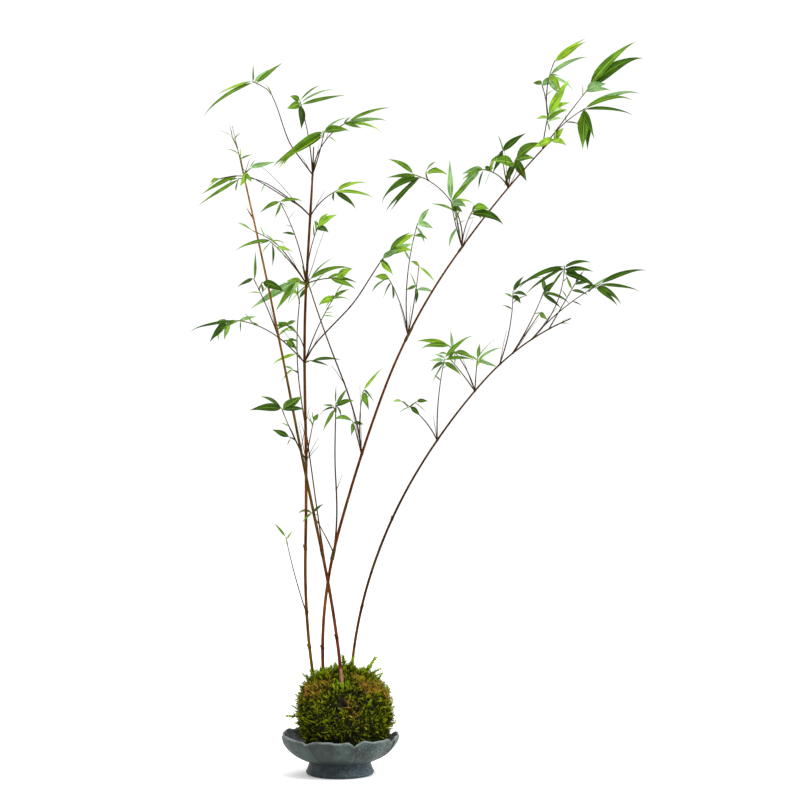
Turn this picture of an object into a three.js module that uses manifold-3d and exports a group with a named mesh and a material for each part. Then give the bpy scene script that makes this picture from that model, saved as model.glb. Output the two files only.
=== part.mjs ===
// A potted bamboo. Five thin canes grow from a ball of moss in a footed dish shaped like a lotus flower.
// Sizes are in millimetres and angles in degrees. +Z is up, the front of the plant faces -Y, and the origin
// is the middle of the flat underside of the dish. A lean is an angle from upright, positive to the right as
// seen from the front, and a turn swings a limb backwards, to +Y.
import * as THREE from "three";
import { mergeVertices } from "three/addons/utils/BufferGeometryUtils.js";
import Module from "manifold-3d";

const wasm = await Module();
wasm.setup();

const GAP = 0.3;
const UP = new THREE.Vector3(0, 0, 1);
const BACK = new THREE.Vector3(0, 1, 0);

const DISH = {
  footRadius: 41,
  footEdge: 4,
  footHeight: 3.2,
  footTaper: 1,
  neckRadius: 36.5,
  neckHeight: 15.5,
  bulgeRadius: 66,
  bulgeHeight: 25.5,
  innerBulgeHeight: 33.4,
  rimRadius: 70.5,
  height: 48.8,
  wall: 3.6,
  floorRadius: 38,
  floorHeight: 20,
  petals: 7,
  columnsPerPetal: 6,
  firstNotch: 15,
  notchDepth: 5,
  wave: 0.9,
  petalSwell: 2.4,
  plainFullness: 0.6,
  outsideRings: 4,
  insideRings: 3,
};

const BALL = {
  centre: [6, 0],
  middle: 70,
  halfSize: 57.5,
  squareness: 2.25,
  footSquareness: 2.1,
  columns: 22,
  rings: 12,
  lump: 1.6,
  lumpsRound: [5, 3],
  lumpsUp: [4, 6],
};

// Each cane stands in a bore of the ball, clear of it all round and below.
const SOCKET = { depth: 12, length: 29, side: 0.42, below: 0.45 };

// How finely each kind of limb is made: steps of its curve, rings along it and faces round it.
const CANE_MESH = { steps: 24, rings: 10, sides: 6 };
const BOUGH_MESH = { steps: 12, rings: 7, sides: 5 };
const TWIG = { radius: [0.75, 0.5], steps: 6, sides: 3 };

// A limb has three rings at each node, and the middle one stands out.
const NODE = { halfLength: 1.6, swell: 1.3, clearLengths: 4 };

// A cane stands in the ball at foot. Its lean changes evenly from one of leans to the next, its length is the
// length seen from the front, its radius is given at foot and tip, and nodes are the heights of its rings.
const CANES = {
  upright_cane: {
    foot: [-29.8, -6],
    leans: [-9.5, -4, 1, 0, -1.5, 0, 3, 3.5, 2],
    length: 650,
    turn: 2,
    radius: [1.9, 0.9],
    nodes: [152, 193, 270, 377, 494, 589, 671, 721],
  },
  leaning_cane: {
    foot: [4.5, -40],
    leans: [-5, -12.4, -11, -12.3, -13.5],
    length: 690,
    turn: 4,
    radius: [1.9, 0.8],
    nodes: [167, 270, 390, 523, 667, 719, 752],
  },
  long_cane: {
    foot: [-20, 12],
    leans: [-4, 15, 20.2, 34.6, 43],
    length: 712,
    turn: 1,
    radius: [2.1, 0.9],
    nodes: [149, 265, 383, 527, 634, 706],
  },
  arching_cane: {
    foot: [13, 10],
    leans: [4, 18.4, 31.4, 41.7, 67],
    length: 532,
    turn: 5,
    radius: [1.5, 0.7],
    nodes: [198, 304, 400, 460, 492, 506, 523, 536],
  },
  thin_cane: {
    foot: [1, -22],
    leans: [-4, -10, -8, -9, 6],
    length: 456,
    turn: 7,
    radius: [1, 0.6],
    nodes: [190, 300, 400, 482],
  },
};

// A bough grows from a node of a cane, on its front (-1) or back (1) side.
const BOUGHS = {
  straight_bough: {
    on: "long_cane",
    height: 265,
    side: 1,
    leans: [9, 1, -4, 0.5, 1.5],
    length: 168,
    turn: 6,
    radius: [0.9, 0.6],
    nodes: [340],
  },
  crossing_bough: {
    on: "long_cane",
    height: 383,
    side: 1,
    leans: [-5, -16, -22, -20, -18],
    length: 205,
    turn: 6,
    radius: [0.9, 0.6],
    nodes: [470],
  },
  reaching_bough: {
    on: "upright_cane",
    height: 494,
    side: -1,
    leans: [24, 44, 45, 32, 34],
    length: 150,
    turn: -10,
    radius: [0.8, 0.6],
    nodes: [560],
  },
};

// A spray grows from the node of a limb at a height, or from the limb's tip where no height is given. Each
// row is a twig: where it starts as a share of the spray's first twig, with 0 at the cane, its leans from foot
// to tip, its length as seen from the front and its turn; then its bunches of leaves: where each bunch sits as
// a share of the twig, how many leaves it has, and the lean and the length from the front of its first leaf
// and of its last.
const SPRAYS = {
  upright_low_spray: {
    on: "upright_cane",
    height: 193,
    side: -1,
    twigs: [[0, [-18, -11], 96, -10, [[1, 2, -45, 22, 36, 16]]]],
  },
  upright_first_spray: {
    on: "upright_cane",
    height: 377,
    side: -1,
    twigs: [
      [0, [-29, -19], 68, -22, [[1, 2, -95, 41, 85, 29], [1, 2, -61, 30, 53, 32]]],
      [0.4, [-55, -70], 8, -10, [[1, 2, -65, 20, -160, 10]]],
      [0, [11, 13], 50, -25, [[1, 2, -6, 12, 40, 12]]],
    ],
  },
  upright_second_spray: {
    on: "upright_cane",
    height: 494,
    side: 1,
    twigs: [
      [
        0,
        [-42, -48, -61, -78, -106],
        124,
        24,
        [
          [1, 2, -167, 21, -150, 18],
          [0.92, 2, -99, 24, -151, 25],
          [0.82, 2, -104, 61, -122, 27],
          [0.8, 1, 71, 22, 71, 22],
          [0.12, 1, -108, 34, -108, 34],
        ],
      ],
      [0.3, [60, 90], 6, 10, [[1, 2, 103, 16, 130, 20]]],
      [0, [6, -60], 56, 36, [[1, 3, -131, 14, -67, 18], [1, 2, 72, 15, 131, 14]]],
      [0, [16, 31], 89, 16, [[1, 2, -138, 18, -120, 20], [1, 3, 40, 20, 90, 23]]],
      [0, [60, 85], 9, 30, [[1, 2, 88, 35, 104, 24]]],
    ],
  },
  upright_third_spray: {
    on: "upright_cane",
    height: 589,
    side: -1,
    twigs: [
      [0, [-28, -36, -38, -58, -72], 89, -25, [[1, 1, -70, 16, -70, 16], [0.74, 2, -103, 42, 90, 16]]],
      [0, [-32, -49], 63, -40, [[1, 3, -122, 13, -180, 24], [0.83, 2, 97, 19, 138, 18]]],
      [0, [-6, -29], 102, -14, [[1, 2, -108, 31, -145, 19], [1, 2, 88, 31, 135, 14]]],
      [0, [3, 24], 69, -30, [[1, 2, 33, 20, 52, 29], [1, 2, -39, 10, 117, 16]]],
      [0, [-60, -95], 12, -35, [[1, 3, -125, 66, -154, 31], [0.5, 2, -136, 45, -88, 22]]],
      [0, [70, 95], 38, -40, [[1, 1, 60, 24, 60, 24], [0.8, 1, 110, 35, 110, 35]]],
      [0, [40, 44], 8, -30, [[1, 2, 39, 38, 74, 56]]],
    ],
  },
  upright_fourth_spray: {
    on: "upright_cane",
    height: 671,
    side: 1,
    twigs: [
      [0, [-40, -58, -56, -62, -95], 110, 20, [[1, 2, -110, 50, -125, 20]]],
      [0, [-38, -54, -52, -68, -96], 109, 34, [[1, 2, -117, 36, -127, 60], [1, 1, -158, 14, -158, 14]]],
      [0.98, [-92, -104], 24, 20, [[1, 2, -103, 13, -137, 20]]],
      [0, [26, 61], 47, 30, [[1, 3, 54, 22, 98, 55], [0.93, 2, 130, 36, 178, 14]]],
    ],
  },
  upright_top_spray: {
    on: "upright_cane",
    height: 721,
    side: -1,
    twigs: [
      [0, [-38, -36, -14, -26, -78], 131, -18, [[1, 2, -108, 47, -124, 73], [1, 3, 9, 15, 56, 40]]],
      [0, [-2, -17], 88, -10, [[1, 3, 42, 36, 80, 56], [1, 3, -76, 12, -178, 24]]],
      [0, [23, 12], 51, -32, [[1, 4, -128, 66, -118, 76], [1, 2, 61, 37, 97, 31]]],
      [0, [6, 66], 78, -20, [[1, 3, 72, 58, 104, 46], [0.96, 2, 90, 34, 112, 24]]],
    ],
  },
  leaning_middle_spray: {
    on: "leaning_cane",
    height: 523,
    side: -1,
    twigs: [
      [0, [-18, -26], 75, -24, [[1, 2, -113, 25, 10, 34]]],
      [0.8, [10, 40], 10, -30, [[1, 2, 114, 26, 169, 14]]],
    ],
  },
  leaning_high_spray: {
    on: "leaning_cane",
    height: 719,
    side: 1,
    twigs: [
      [0, [20, 60], 12, 30, [[1, 2, 66, 33, 49, 14], [0.4, 2, -166, 20, 140, 18]]],
      [0, [-10, -14], 26, 20, [[1, 3, -75, 14, 60, 15]]],
    ],
  },
  leaning_tip_spray: {
    on: "leaning_cane",
    height: 752,
    side: -1,
    twigs: [[0, [-20, -30], 14, -30, [[1, 3, -75, 14, 60, 14]]]],
  },
  thin_middle_spray: {
    on: "thin_cane",
    height: 482,
    side: 1,
    twigs: [[0, [-50, -80], 8, 35, [[1, 2, -128, 21, -70, 15]]]],
  },
  thin_tip_spray: {
    on: "thin_cane",
    twigs: [[0, [5, -30], 14, 20, [[1, 4, -95, 22, 35, 22]]]],
  },
  long_first_spray: {
    on: "long_cane",
    height: 265,
    side: -1,
    twigs: [[0, [-23, -31], 55, -20, [[1, 2, -138, 16, -101, 24], [1, 2, 54, 21, 108, 14]]]],
  },
  long_second_spray: {
    on: "long_cane",
    height: 383,
    side: -1,
    twigs: [
      [0, [-8, 12], 78, -22, [[1, 1, 38, 35, 38, 35], [1, 2, 142, 20, 156, 23]]],
      [0, [-12, -16], 42, -34, [[1, 2, -81, 22, 97, 12], [0.95, 2, -171, 16, 168, 17]]],
    ],
  },
  long_third_spray: {
    on: "long_cane",
    height: 527,
    side: 1,
    twigs: [
      [0, [-7, -30], 76, 22, [[1, 2, -124, 26, -75, 19], [0.9, 2, -148, 18, 176, 20]]],
      [0, [-6, 16], 140, 12, [[1, 3, 39, 25, 155, 22], [0.9, 2, -125, 48, 113, 18]]],
      [0, [12, 6], 90, 34, [[1, 2, -60, 14, 133, 28], [0.7, 3, -100, 14, -250, 23]]],
    ],
  },
  long_fourth_spray: {
    on: "long_cane",
    height: 634,
    side: -1,
    twigs: [
      [0, [6, -76], 112, -18, [[1, 3, -66, 32, -119, 44], [0.94, 3, -140, 54, -117, 61]]],
      [0.82, [-45, 10], 12, -30, [[1, 3, 55, 14, 80, 27]]],
      [0, [-20, -10], 55, -34, [[1, 3, 0, 46, 84, 33], [0.93, 3, 107, 20, 165, 14]]],
      [0, [2, 32], 48, -8, [[1, 2, 84, 22, 126, 14], [0.9, 2, 41, 14, 117, 40]]],
      [0, [-14, -8], 40, -40, [[1, 1, -77, 32, -77, 32], [0.6, 2, -152, 33, 176, 14]]],
    ],
  },
  long_fifth_spray: {
    on: "long_cane",
    height: 706,
    side: 1,
    twigs: [
      [0, [-21, -86], 44, 26, [[1, 3, -136, 33, -100, 27], [0.9, 2, -163, 20, 63, 12]]],
      [0, [-13, 1], 50, 36, [[1, 2, -20, 18, 46, 40], [1, 3, -152, 26, -117, 18]]],
      [0, [8, 22], 38, 14, [[1, 2, 57, 29, 72, 31], [0.95, 3, 146, 28, 265, 28]]],
    ],
  },
  long_tip_spray: {
    on: "long_cane",
    twigs: [
      [0, [7, 14], 46, 18, [[1, 3, 36, 40, 64, 30], [0.85, 3, -95, 14, -270, 18]]],
      [0.9, [-9, 24], 72, 8, [[1, 2, 50, 45, 64, 38], [0.72, 3, 66, 52, 157, 25]]],
      [0.9, [0, -14], 44, 34, [[1, 2, -97, 13, 60, 16]]],
      [0, [36, 39], 88, -22, [[1, 2, 47, 82, 55, 77], [0.95, 2, 81, 22, 95, 30]]],
      [0, [32, 60], 77, 16, [[1, 3, 70, 73, 92, 65], [0.97, 3, 180, 47, 163, 42]]],
      [0, [45, 55], 18, -36, [[1, 3, -11, 13, 97, 20], [0.9, 1, -116, 33, -116, 33]]],
    ],
  },
  straight_tip_spray: {
    on: "straight_bough",
    twigs: [
      [0, [2, 0], 12, 20, [[1, 3, 3, 23, 76, 28], [0.8, 1, 149, 16, 149, 16]]],
      [0, [-15, -25], 8, -25, [[1, 3, -83, 14, -150, 33]]],
    ],
  },
  crossing_tip_spray: {
    on: "crossing_bough",
    twigs: [[0, [-18, -20], 12, 25, [[1, 4, -135, 32, 45, 26]]]],
  },
  reaching_tip_spray: {
    on: "reaching_bough",
    twigs: [[0, [36, 50], 16, -20, [[1, 3, 45, 37, 86, 35], [0.3, 2, 60, 22, 137, 20]]]],
  },
  arching_first_spray: {
    on: "arching_cane",
    height: 400,
    side: -1,
    twigs: [
      [0, [-25, -60], 66, -26, [[1, 2, -90, 10, 142, 14]]],
      [0, [-2, 12], 100, -12, [[1, 3, 52, 43, 132, 29], [1, 4, -70, 14, -152, 26]]],
      [0.8, [40, 60], 10, -20, [[1, 2, 90, 14, 126, 17]]],
    ],
  },
  arching_second_spray: {
    on: "arching_cane",
    height: 460,
    side: 1,
    twigs: [
      [0, [-14, -44], 66, 26, [[1, 2, -83, 40, -92, 36], [0.86, 2, -11, 24, 113, 30]]],
      [0, [-34, -41], 52, 10, [[1, 2, 48, 12, -70, 18]]],
      [0, [5, 7], 41, 38, [[1, 3, 16, 22, 56, 41], [0.9, 1, 108, 28, 108, 28]]],
    ],
  },
  arching_third_spray: {
    on: "arching_cane",
    height: 492,
    side: -1,
    twigs: [[0, [20, -1], 90, -22, [[1, 2, 31, 21, 58, 43], [0.97, 2, 107, 16, 146, 14]]]],
  },
  arching_fourth_spray: {
    on: "arching_cane",
    height: 506,
    side: 1,
    twigs: [
      [0, [34, 22], 89, 28, [[1, 3, 0, 22, 90, 13], [0.97, 2, 112, 39, 126, 27]]],
      [0, [34, 35], 60, 10, [[1, 1, 120, 15, 120, 15]]],
    ],
  },
  arching_fifth_spray: {
    on: "arching_cane",
    height: 523,
    side: -1,
    twigs: [
      [0, [47, 0], 99, -14, [[1, 3, -118, 62, -99, 30], [1, 5, 72, 26, 116, 46]]],
      [0, [39, 62], 102, -32, [[1, 4, 75, 56, 137, 38], [0.95, 2, -98, 18, -130, 12]]],
    ],
  },
  arching_tip_spray: {
    on: "arching_cane",
    height: 536,
    side: 1,
    twigs: [
      [0, [31, 31], 67, 22, [[1, 2, 30, 16, 85, 20], [0.85, 1, 97, 28, 97, 28]]],
      [0, [62, 66], 18, 34, [[1, 2, 50, 14, 90, 14]]],
    ],
  },
};

const LEAF = {
  longest: 62,
  shortest: 30,
  width: 0.13,
  thickness: 1,
  root: 0.3,
  droop: 75,
  leastShown: 0.92,
  shownRange: 0.16,
  jitter: 5,
  roll: 60,
  spacing: 2.4,
  mostTurn: 62,
  nearUpright: 0.96,
};

// A leaf is pointed at both ends and widest before its middle.
const LEAF_RINGS = [
  { share: 0, width: 0, thickness: 0 },
  { share: 0.14, width: 0.5, thickness: 1 },
  { share: 0.48, width: 1, thickness: 0.8 },
  { share: 1, width: 0, thickness: 0 },
];

// The swings that are tried, one after another, for a leaf that would touch a limb or a neighbour.
const LEAF_SWINGS = [0, 9, -9, 18, -18, 27, -27, 40];
const FIRST_SEED = 101;

const SURFACES = {
  dish: { color: "#4f5b5c", roughness: 0.75, metalness: 0 },
  moss: { color: "#6f8a2c", roughness: 1, metalness: 0 },
  cane: { color: "#7a4420", roughness: 0.55, metalness: 0 },
  leaf: { color: "#4c8420", roughness: 0.6, metalness: 0 },
};

const radians = (degrees) => THREE.MathUtils.degToRad(degrees);

// A repeatable stream of numbers from 0 to 1, started by a whole number.
function seeded(start) {
  let state = start >>> 0;
  return () => {
    state = (state + 0x6d2b79f5) >>> 0;
    let mixed = Math.imul(state ^ (state >>> 15), state | 1);
    mixed ^= mixed + Math.imul(mixed ^ (mixed >>> 7), mixed | 61);
    return ((mixed ^ (mixed >>> 14)) >>> 0) / 4294967296;
  };
}

function solidOf(geometry) {
  const bare = geometry.clone();
  bare.deleteAttribute("normal");
  bare.deleteAttribute("uv");
  const merged = mergeVertices(bare, 1e-4);
  return new wasm.Manifold(
    new wasm.Mesh({
      numProp: 3,
      vertProperties: new Float32Array(merged.attributes.position.array),
      triVerts: new Uint32Array(merged.index.array),
    }),
  );
}

function geometryOf(solid) {
  const mesh = solid.getMesh();
  const geometry = new THREE.BufferGeometry();
  geometry.setAttribute("position", new THREE.BufferAttribute(mesh.vertProperties, 3));
  geometry.setIndex(new THREE.BufferAttribute(mesh.triVerts, 1));
  geometry.computeVertexNormals();
  return geometry;
}

// Moves each vertex of a geometry to the place that a function gives for it.
function reshape(geometry, placeOf) {
  const position = geometry.attributes.position;
  const vertex = new THREE.Vector3();
  for (let i = 0; i < position.count; i += 1) {
    vertex.fromBufferAttribute(position, i);
    position.setXYZ(i, ...placeOf(vertex).toArray());
  }
  return geometry;
}

function direction(lean, turn) {
  const flat = new THREE.Vector3(Math.sin(radians(lean)), 0, Math.cos(radians(lean)));
  return flat.multiplyScalar(Math.cos(radians(turn))).addScaledVector(BACK, Math.sin(radians(turn)));
}

// The value at a share of the way through evenly spaced values.
function along(values, share) {
  const place = share * (values.length - 1);
  const before = Math.min(Math.floor(place), values.length - 2);
  return THREE.MathUtils.lerp(values[before], values[before + 1], place - before);
}

// The curve of a limb, walked from its foot.
function limbCurve(foot, leans, length, turn, steps) {
  const points = [foot.clone()];
  const stride = length / steps / Math.cos(radians(turn));
  for (let i = 0; i < steps; i += 1) {
    const lean = along(leans, (i + 0.5) / steps);
    points.push(points[i].clone().addScaledVector(direction(lean, turn), stride));
  }
  return new THREE.CatmullRomCurve3(points);
}

// A cylinder bent along a curve, with a ring of vertices at each of the shares of its length.
function limbSolid(curve, rings, radiusAt, sides) {
  const geometry = new THREE.CylinderGeometry(1, 1, 1, sides, rings.length - 1);
  return solidOf(
    reshape(geometry, (vertex) => {
      const ring = Math.round((vertex.y + 0.5) * (rings.length - 1));
      const share = rings[ring];
      const tangent = curve.getTangentAt(share);
      const side = BACK.clone().cross(tangent).normalize();
      const front = side.clone().cross(tangent);
      return curve
        .getPointAt(share)
        .addScaledVector(side, vertex.x * radiusAt(share))
        .addScaledVector(front, vertex.z * radiusAt(share));
    }),
  );
}

function evenRings(count) {
  return Array.from({ length: count + 1 }, (_, i) => i / count);
}

// The share of a rising curve's length at which it reaches a height.
function shareAtHeight(curve, height) {
  let low = 0;
  let high = 1;
  while (high - low > 1e-4) {
    const middle = (low + high) / 2;
    if (curve.getPointAt(middle).z < height) low = middle;
    else high = middle;
  }
  return low;
}

// A limb with even rings, except near its nodes, which have rings of their own.
function makeLimb(curve, radius, heights, { rings: steps, sides }) {
  const length = curve.getLength();
  const nodes = heights.map((height) => shareAtHeight(curve, height));
  const half = NODE.halfLength / length;
  const nearNode = (share) => nodes.some((node) => Math.abs(node - share) < NODE.clearLengths * half);
  const rings = evenRings(steps)
    .filter((share) => share === 0 || share === 1 || !nearNode(share))
    .concat(nodes.flatMap((node) => [node - half, node, node + half]))
    .sort((a, b) => a - b);
  const plainRadius = (share) => THREE.MathUtils.lerp(radius[0], radius[1], share);
  const radiusAt = (share) => plainRadius(share) * (nodes.includes(share) ? NODE.swell : 1);
  return { curve, rings, plainRadius, sides, solid: limbSolid(curve, rings, radiusAt, sides) };
}

// The dish: a lathed profile whose wall is then drawn out into petals.
function dishProfile() {
  const { footRadius, footEdge, footHeight, neckRadius, neckHeight, rimRadius, height, wall } = DISH;
  const point = (x, y) => new THREE.Vector2(x, y);
  const outside = new THREE.QuadraticBezierCurve(
    point(neckRadius, neckHeight),
    point(DISH.bulgeRadius, DISH.bulgeHeight),
    point(rimRadius, height),
  );
  const inside = new THREE.QuadraticBezierCurve(
    point(rimRadius - wall, height),
    point(DISH.bulgeRadius - wall, DISH.innerBulgeHeight),
    point(DISH.floorRadius, DISH.floorHeight),
  );
  return [
    point(0, 0),
    point(footRadius - footEdge, 0),
    point(footRadius, footHeight),
    point(footRadius - DISH.footTaper, footHeight * 2),
    ...outside.getPoints(DISH.outsideRings),
    ...inside.getPoints(DISH.insideRings),
    point(0, DISH.floorHeight),
  ];
}

// How far a place round the rim is through its petal: 0 and 1 at the notches, 0.5 at the petal's middle.
function petalShare(x, y) {
  const round = THREE.MathUtils.radToDeg(Math.atan2(x, -y)) - DISH.firstNotch;
  return THREE.MathUtils.euclideanModulo((round * DISH.petals) / 360, 1);
}

function makeDish() {
  const geometry = new THREE.LatheGeometry(dishProfile(), DISH.petals * DISH.columnsPerPetal);
  geometry.rotateX(Math.PI / 2);
  return solidOf(
    reshape(geometry, (vertex) => {
      const open = THREE.MathUtils.smoothstep(vertex.z, DISH.neckHeight, DISH.height);
      const radius = Math.hypot(vertex.x, vertex.y);
      if (open === 0 || radius <= DISH.floorRadius) return vertex.clone();
      const share = petalShare(vertex.x, vertex.y);
      const fullness = Math.sin(Math.PI * share);
      const notch = DISH.notchDepth * (1 - fullness) ** 3;
      const wave = DISH.wave * Math.cos(4 * Math.PI * share);
      const wider = (radius + DISH.petalSwell * open * (fullness - DISH.plainFullness)) / radius;
      const height = vertex.z - open * (notch + wave);
      return new THREE.Vector3(vertex.x * wider, vertex.y * wider, height);
    }),
  );
}

// The ball of moss: a slightly squared sphere with soft lumps, a flat underside and a bore for each cane.
function ballHeight(x, y) {
  const out = Math.hypot(x - BALL.centre[0], y - BALL.centre[1]) / BALL.halfSize;
  return BALL.middle + BALL.halfSize * (1 - out ** BALL.squareness) ** (1 / BALL.squareness);
}

function makeBall(sockets) {
  const geometry = new THREE.SphereGeometry(1, BALL.columns, BALL.rings);
  geometry.rotateX(Math.PI / 2);
  const body = reshape(geometry, (vertex) => {
    const bend = 2 / (vertex.z > 0 ? BALL.squareness : BALL.footSquareness);
    const flat = Math.hypot(vertex.x, vertex.y);
    const round = Math.atan2(vertex.y, vertex.x);
    const waves = [0, 1].map((i) => BALL.lumpsUp[i] * vertex.z + (-1) ** i * BALL.lumpsRound[i] * round);
    const lump = BALL.lump * flat * Math.sin(waves[0]) * Math.cos(waves[1]);
    const wide = flat < 1e-6 ? 0 : (BALL.halfSize * flat ** bend + lump) / flat;
    const high = BALL.middle + BALL.halfSize * Math.sign(vertex.z) * Math.abs(vertex.z) ** bend;
    return new THREE.Vector3(
      BALL.centre[0] + vertex.x * wide,
      BALL.centre[1] + vertex.y * wide,
      Math.max(high, DISH.floorHeight + GAP),
    );
  });
  return sockets.reduce((solid, socket) => solid.subtract(socket), solidOf(body));
}

// The bore for a cane's foot runs straight along the cane's first stretch.
function socketSolid(cane) {
  const foot = cane.curve.getPointAt(0);
  const heading = cane.curve.getPointAt(cane.rings[1]).sub(foot).normalize();
  const bottom = foot.clone().addScaledVector(heading, -SOCKET.below);
  const top = foot.clone().addScaledVector(heading, SOCKET.length);
  const radius = cane.plainRadius(0) + SOCKET.side;
  return limbSolid(new THREE.LineCurve3(bottom, top), evenRings(1), () => radius, cane.sides);
}

function makeCane({ foot, leans, length, turn, radius, nodes }) {
  const ground = ballHeight(...foot) - SOCKET.depth;
  const curve = limbCurve(new THREE.Vector3(...foot, ground), leans, length, turn, CANE_MESH.steps);
  return makeLimb(curve, radius, nodes, CANE_MESH);
}

// The point beside a limb's node, or past its tip, where a bough's or spray's foot of a radius stays clear.
function footBeside(limb, height, side, radius) {
  if (height === undefined) {
    const tangent = limb.curve.getTangentAt(1);
    return limb.curve.getPointAt(1).addScaledVector(tangent, radius + GAP);
  }
  const share = shareAtHeight(limb.curve, height);
  const reach = limb.plainRadius(share) * NODE.swell + radius + GAP;
  return limb.curve.getPointAt(share).addScaledVector(BACK, side * reach);
}

function makeBough({ on, height, side, leans, length, turn, radius, nodes }, limbs) {
  const foot = footBeside(limbs[on], height, side, radius[0]);
  return makeLimb(limbCurve(foot, leans, length, turn, BOUGH_MESH.steps), radius, nodes, BOUGH_MESH);
}

// One leaf: a sphere of a few faces drawn out along a drooping midline, its root sunk in the twig.
function leafSolid({ root, lean, turn, length, roll }) {
  const heading = direction(lean, turn);
  const across = Math.abs(heading.z) < LEAF.nearUpright ? UP : BACK;
  const side = across.clone().cross(heading).normalize().applyAxisAngle(heading, radians(roll));
  const rings = LEAF_RINGS.length - 1;
  const whole = length + LEAF.root;
  const midline = [root.clone().addScaledVector(heading, -LEAF.root)];
  for (let i = 1; i <= rings; i += 1) {
    const past = (LEAF_RINGS[i - 1].share + LEAF_RINGS[i].share) / 2 - 0.5;
    const level = Math.sin(radians(lean));
    const droop = LEAF.droop * level * Math.abs(level) * past;
    const stride = whole * (LEAF_RINGS[i].share - LEAF_RINGS[i - 1].share);
    midline.push(midline[i - 1].clone().addScaledVector(direction(lean + droop, turn), stride));
  }
  const face = heading.clone().cross(side).normalize();
  const geometry = new THREE.SphereGeometry(1, 3, rings);
  return solidOf(
    reshape(geometry, (vertex) => {
      const ring = Math.round((Math.acos(THREE.MathUtils.clamp(-vertex.y, -1, 1)) / Math.PI) * rings);
      const { width, thickness } = LEAF_RINGS[ring];
      const reach = Math.hypot(vertex.x, vertex.z) || 1;
      return midline[ring]
        .clone()
        .addScaledVector(side, (vertex.x / reach) * width * LEAF.width * length * 0.5)
        .addScaledVector(face, (-vertex.z / reach) * thickness * LEAF.thickness * 0.5);
    }),
  );
}

// The twigs of a spray as curves, all from its one foot or from its first twig.
function sprayCurves({ on, height, side, twigs }, limbs) {
  const foot = footBeside(limbs[on], height, side, TWIG.radius[0]);
  const curves = [];
  for (const [start, leans, length, turn] of twigs) {
    const from = start === 0 ? foot : twigPoint(curves[0], start);
    curves.push(limbCurve(from, leans, length, turn, TWIG.steps));
  }
  return curves;
}

function twigRadius(share) {
  return THREE.MathUtils.lerp(TWIG.radius[0], TWIG.radius[1], share);
}

// A point on the middle line of a twig, which runs straight from one ring to the next.
function twigPoint(curve, share) {
  const before = Math.min(Math.floor(share * TWIG.steps), TWIG.steps - 1);
  const start = curve.getPointAt(before / TWIG.steps);
  return start.lerp(curve.getPointAt((before + 1) / TWIG.steps), share * TWIG.steps - before);
}

// The leaves of a bunch as numbers: root, lean, turn, length and roll of each. Between its first leaf and its
// last, lean and length change evenly, and each leaf sits a little further down the twig than the one before.
function bunchLeaves([place, count, firstLean, firstSeen, lastLean, lastSeen], curve, random) {
  const leaves = [];
  for (let i = 0; i < count; i += 1) {
    const even = count === 1 ? 0 : i / (count - 1);
    const lean = THREE.MathUtils.lerp(firstLean, lastLean, even) + LEAF.jitter * (2 * random() - 1);
    const seen = THREE.MathUtils.lerp(firstSeen, lastSeen, even);
    const shown = seen * (LEAF.leastShown + LEAF.shownRange * random());
    const grown = THREE.MathUtils.lerp(LEAF.shortest, LEAF.longest, random());
    const away = THREE.MathUtils.radToDeg(Math.acos(Math.min(1, shown / grown)));
    const turn = Math.min(away, LEAF.mostTurn) * (random() < 0.5 ? -1 : 1);
    const roll = LEAF.roll * (2 * random() - 1);
    const share = Math.max(0, place - (i * LEAF.spacing) / curve.getLength());
    leaves.push({ root: twigPoint(curve, share), lean, turn, length: shown / Math.cos(radians(turn)), roll });
  }
  return leaves;
}

function boxesMeet(a, b) {
  return [0, 1, 2].every((axis) => a.min[axis] <= b.max[axis] && b.min[axis] <= a.max[axis]);
}

function touches(solid, others) {
  const box = solid.boundingBox();
  return others.some((other) => boxesMeet(box, other.box) && solid.intersect(other.solid).volume() > 0);
}

function boxed(solid) {
  return { solid, box: solid.boundingBox() };
}

// Fuses the pieces of a spray and keeps the largest body. Others are scraps or the walls of sealed hollows.
function fused(pieces) {
  const bodies = wasm.Manifold.union(pieces.map((piece) => piece.solid)).decompose();
  return bodies.sort((a, b) => b.volume() - a.volume())[0];
}

// Takes the first swing of a leaf that touches nothing, or else the first that touches only its own spray.
function placeLeaf(leaf, own, others) {
  const tries = LEAF_SWINGS.map((swing) => leafSolid({ ...leaf, lean: leaf.lean + swing }));
  const free = tries.filter((solid) => !touches(solid, others));
  return free.find((solid) => !touches(solid, own)) ?? free[0];
}

function makeSprays(limbs) {
  const sprays = Object.entries(SPRAYS).map(([name, spray]) => {
    const curves = sprayCurves(spray, limbs);
    const solids = curves.map((curve) => limbSolid(curve, evenRings(TWIG.steps), twigRadius, TWIG.sides));
    return { name, spray, curves, pieces: solids.map((solid) => ({ name, ...boxed(solid) })) };
  });
  const taken = Object.values(limbs).map((limb) => boxed(limb.solid));
  taken.push(...sprays.flatMap(({ pieces }) => pieces));
  sprays.forEach(({ name, spray, curves, pieces }, order) => {
    const random = seeded(FIRST_SEED + order);
    const others = taken.filter((piece) => piece.name !== name);
    spray.twigs.forEach((row, i) => {
      const carrier = pieces[i];
      for (const leaf of row.at(-1).flatMap((bunch) => bunchLeaves(bunch, curves[i], random))) {
        const own = pieces.filter((piece) => piece !== carrier);
        const solid = placeLeaf(leaf, own, others);
        if (!solid) continue;
        pieces.push({ name, ...boxed(solid) });
        taken.push(pieces.at(-1));
      }
    });
  });
  return Object.fromEntries(sprays.map(({ name, pieces }) => [name, fused(pieces)]));
}

function surface({ color, roughness, metalness }) {
  return new THREE.MeshStandardMaterial({ color, roughness, metalness });
}

function addMesh(group, name, solid, material) {
  const mesh = new THREE.Mesh(geometryOf(solid), surface(material));
  mesh.name = name;
  group.add(mesh);
}

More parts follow.
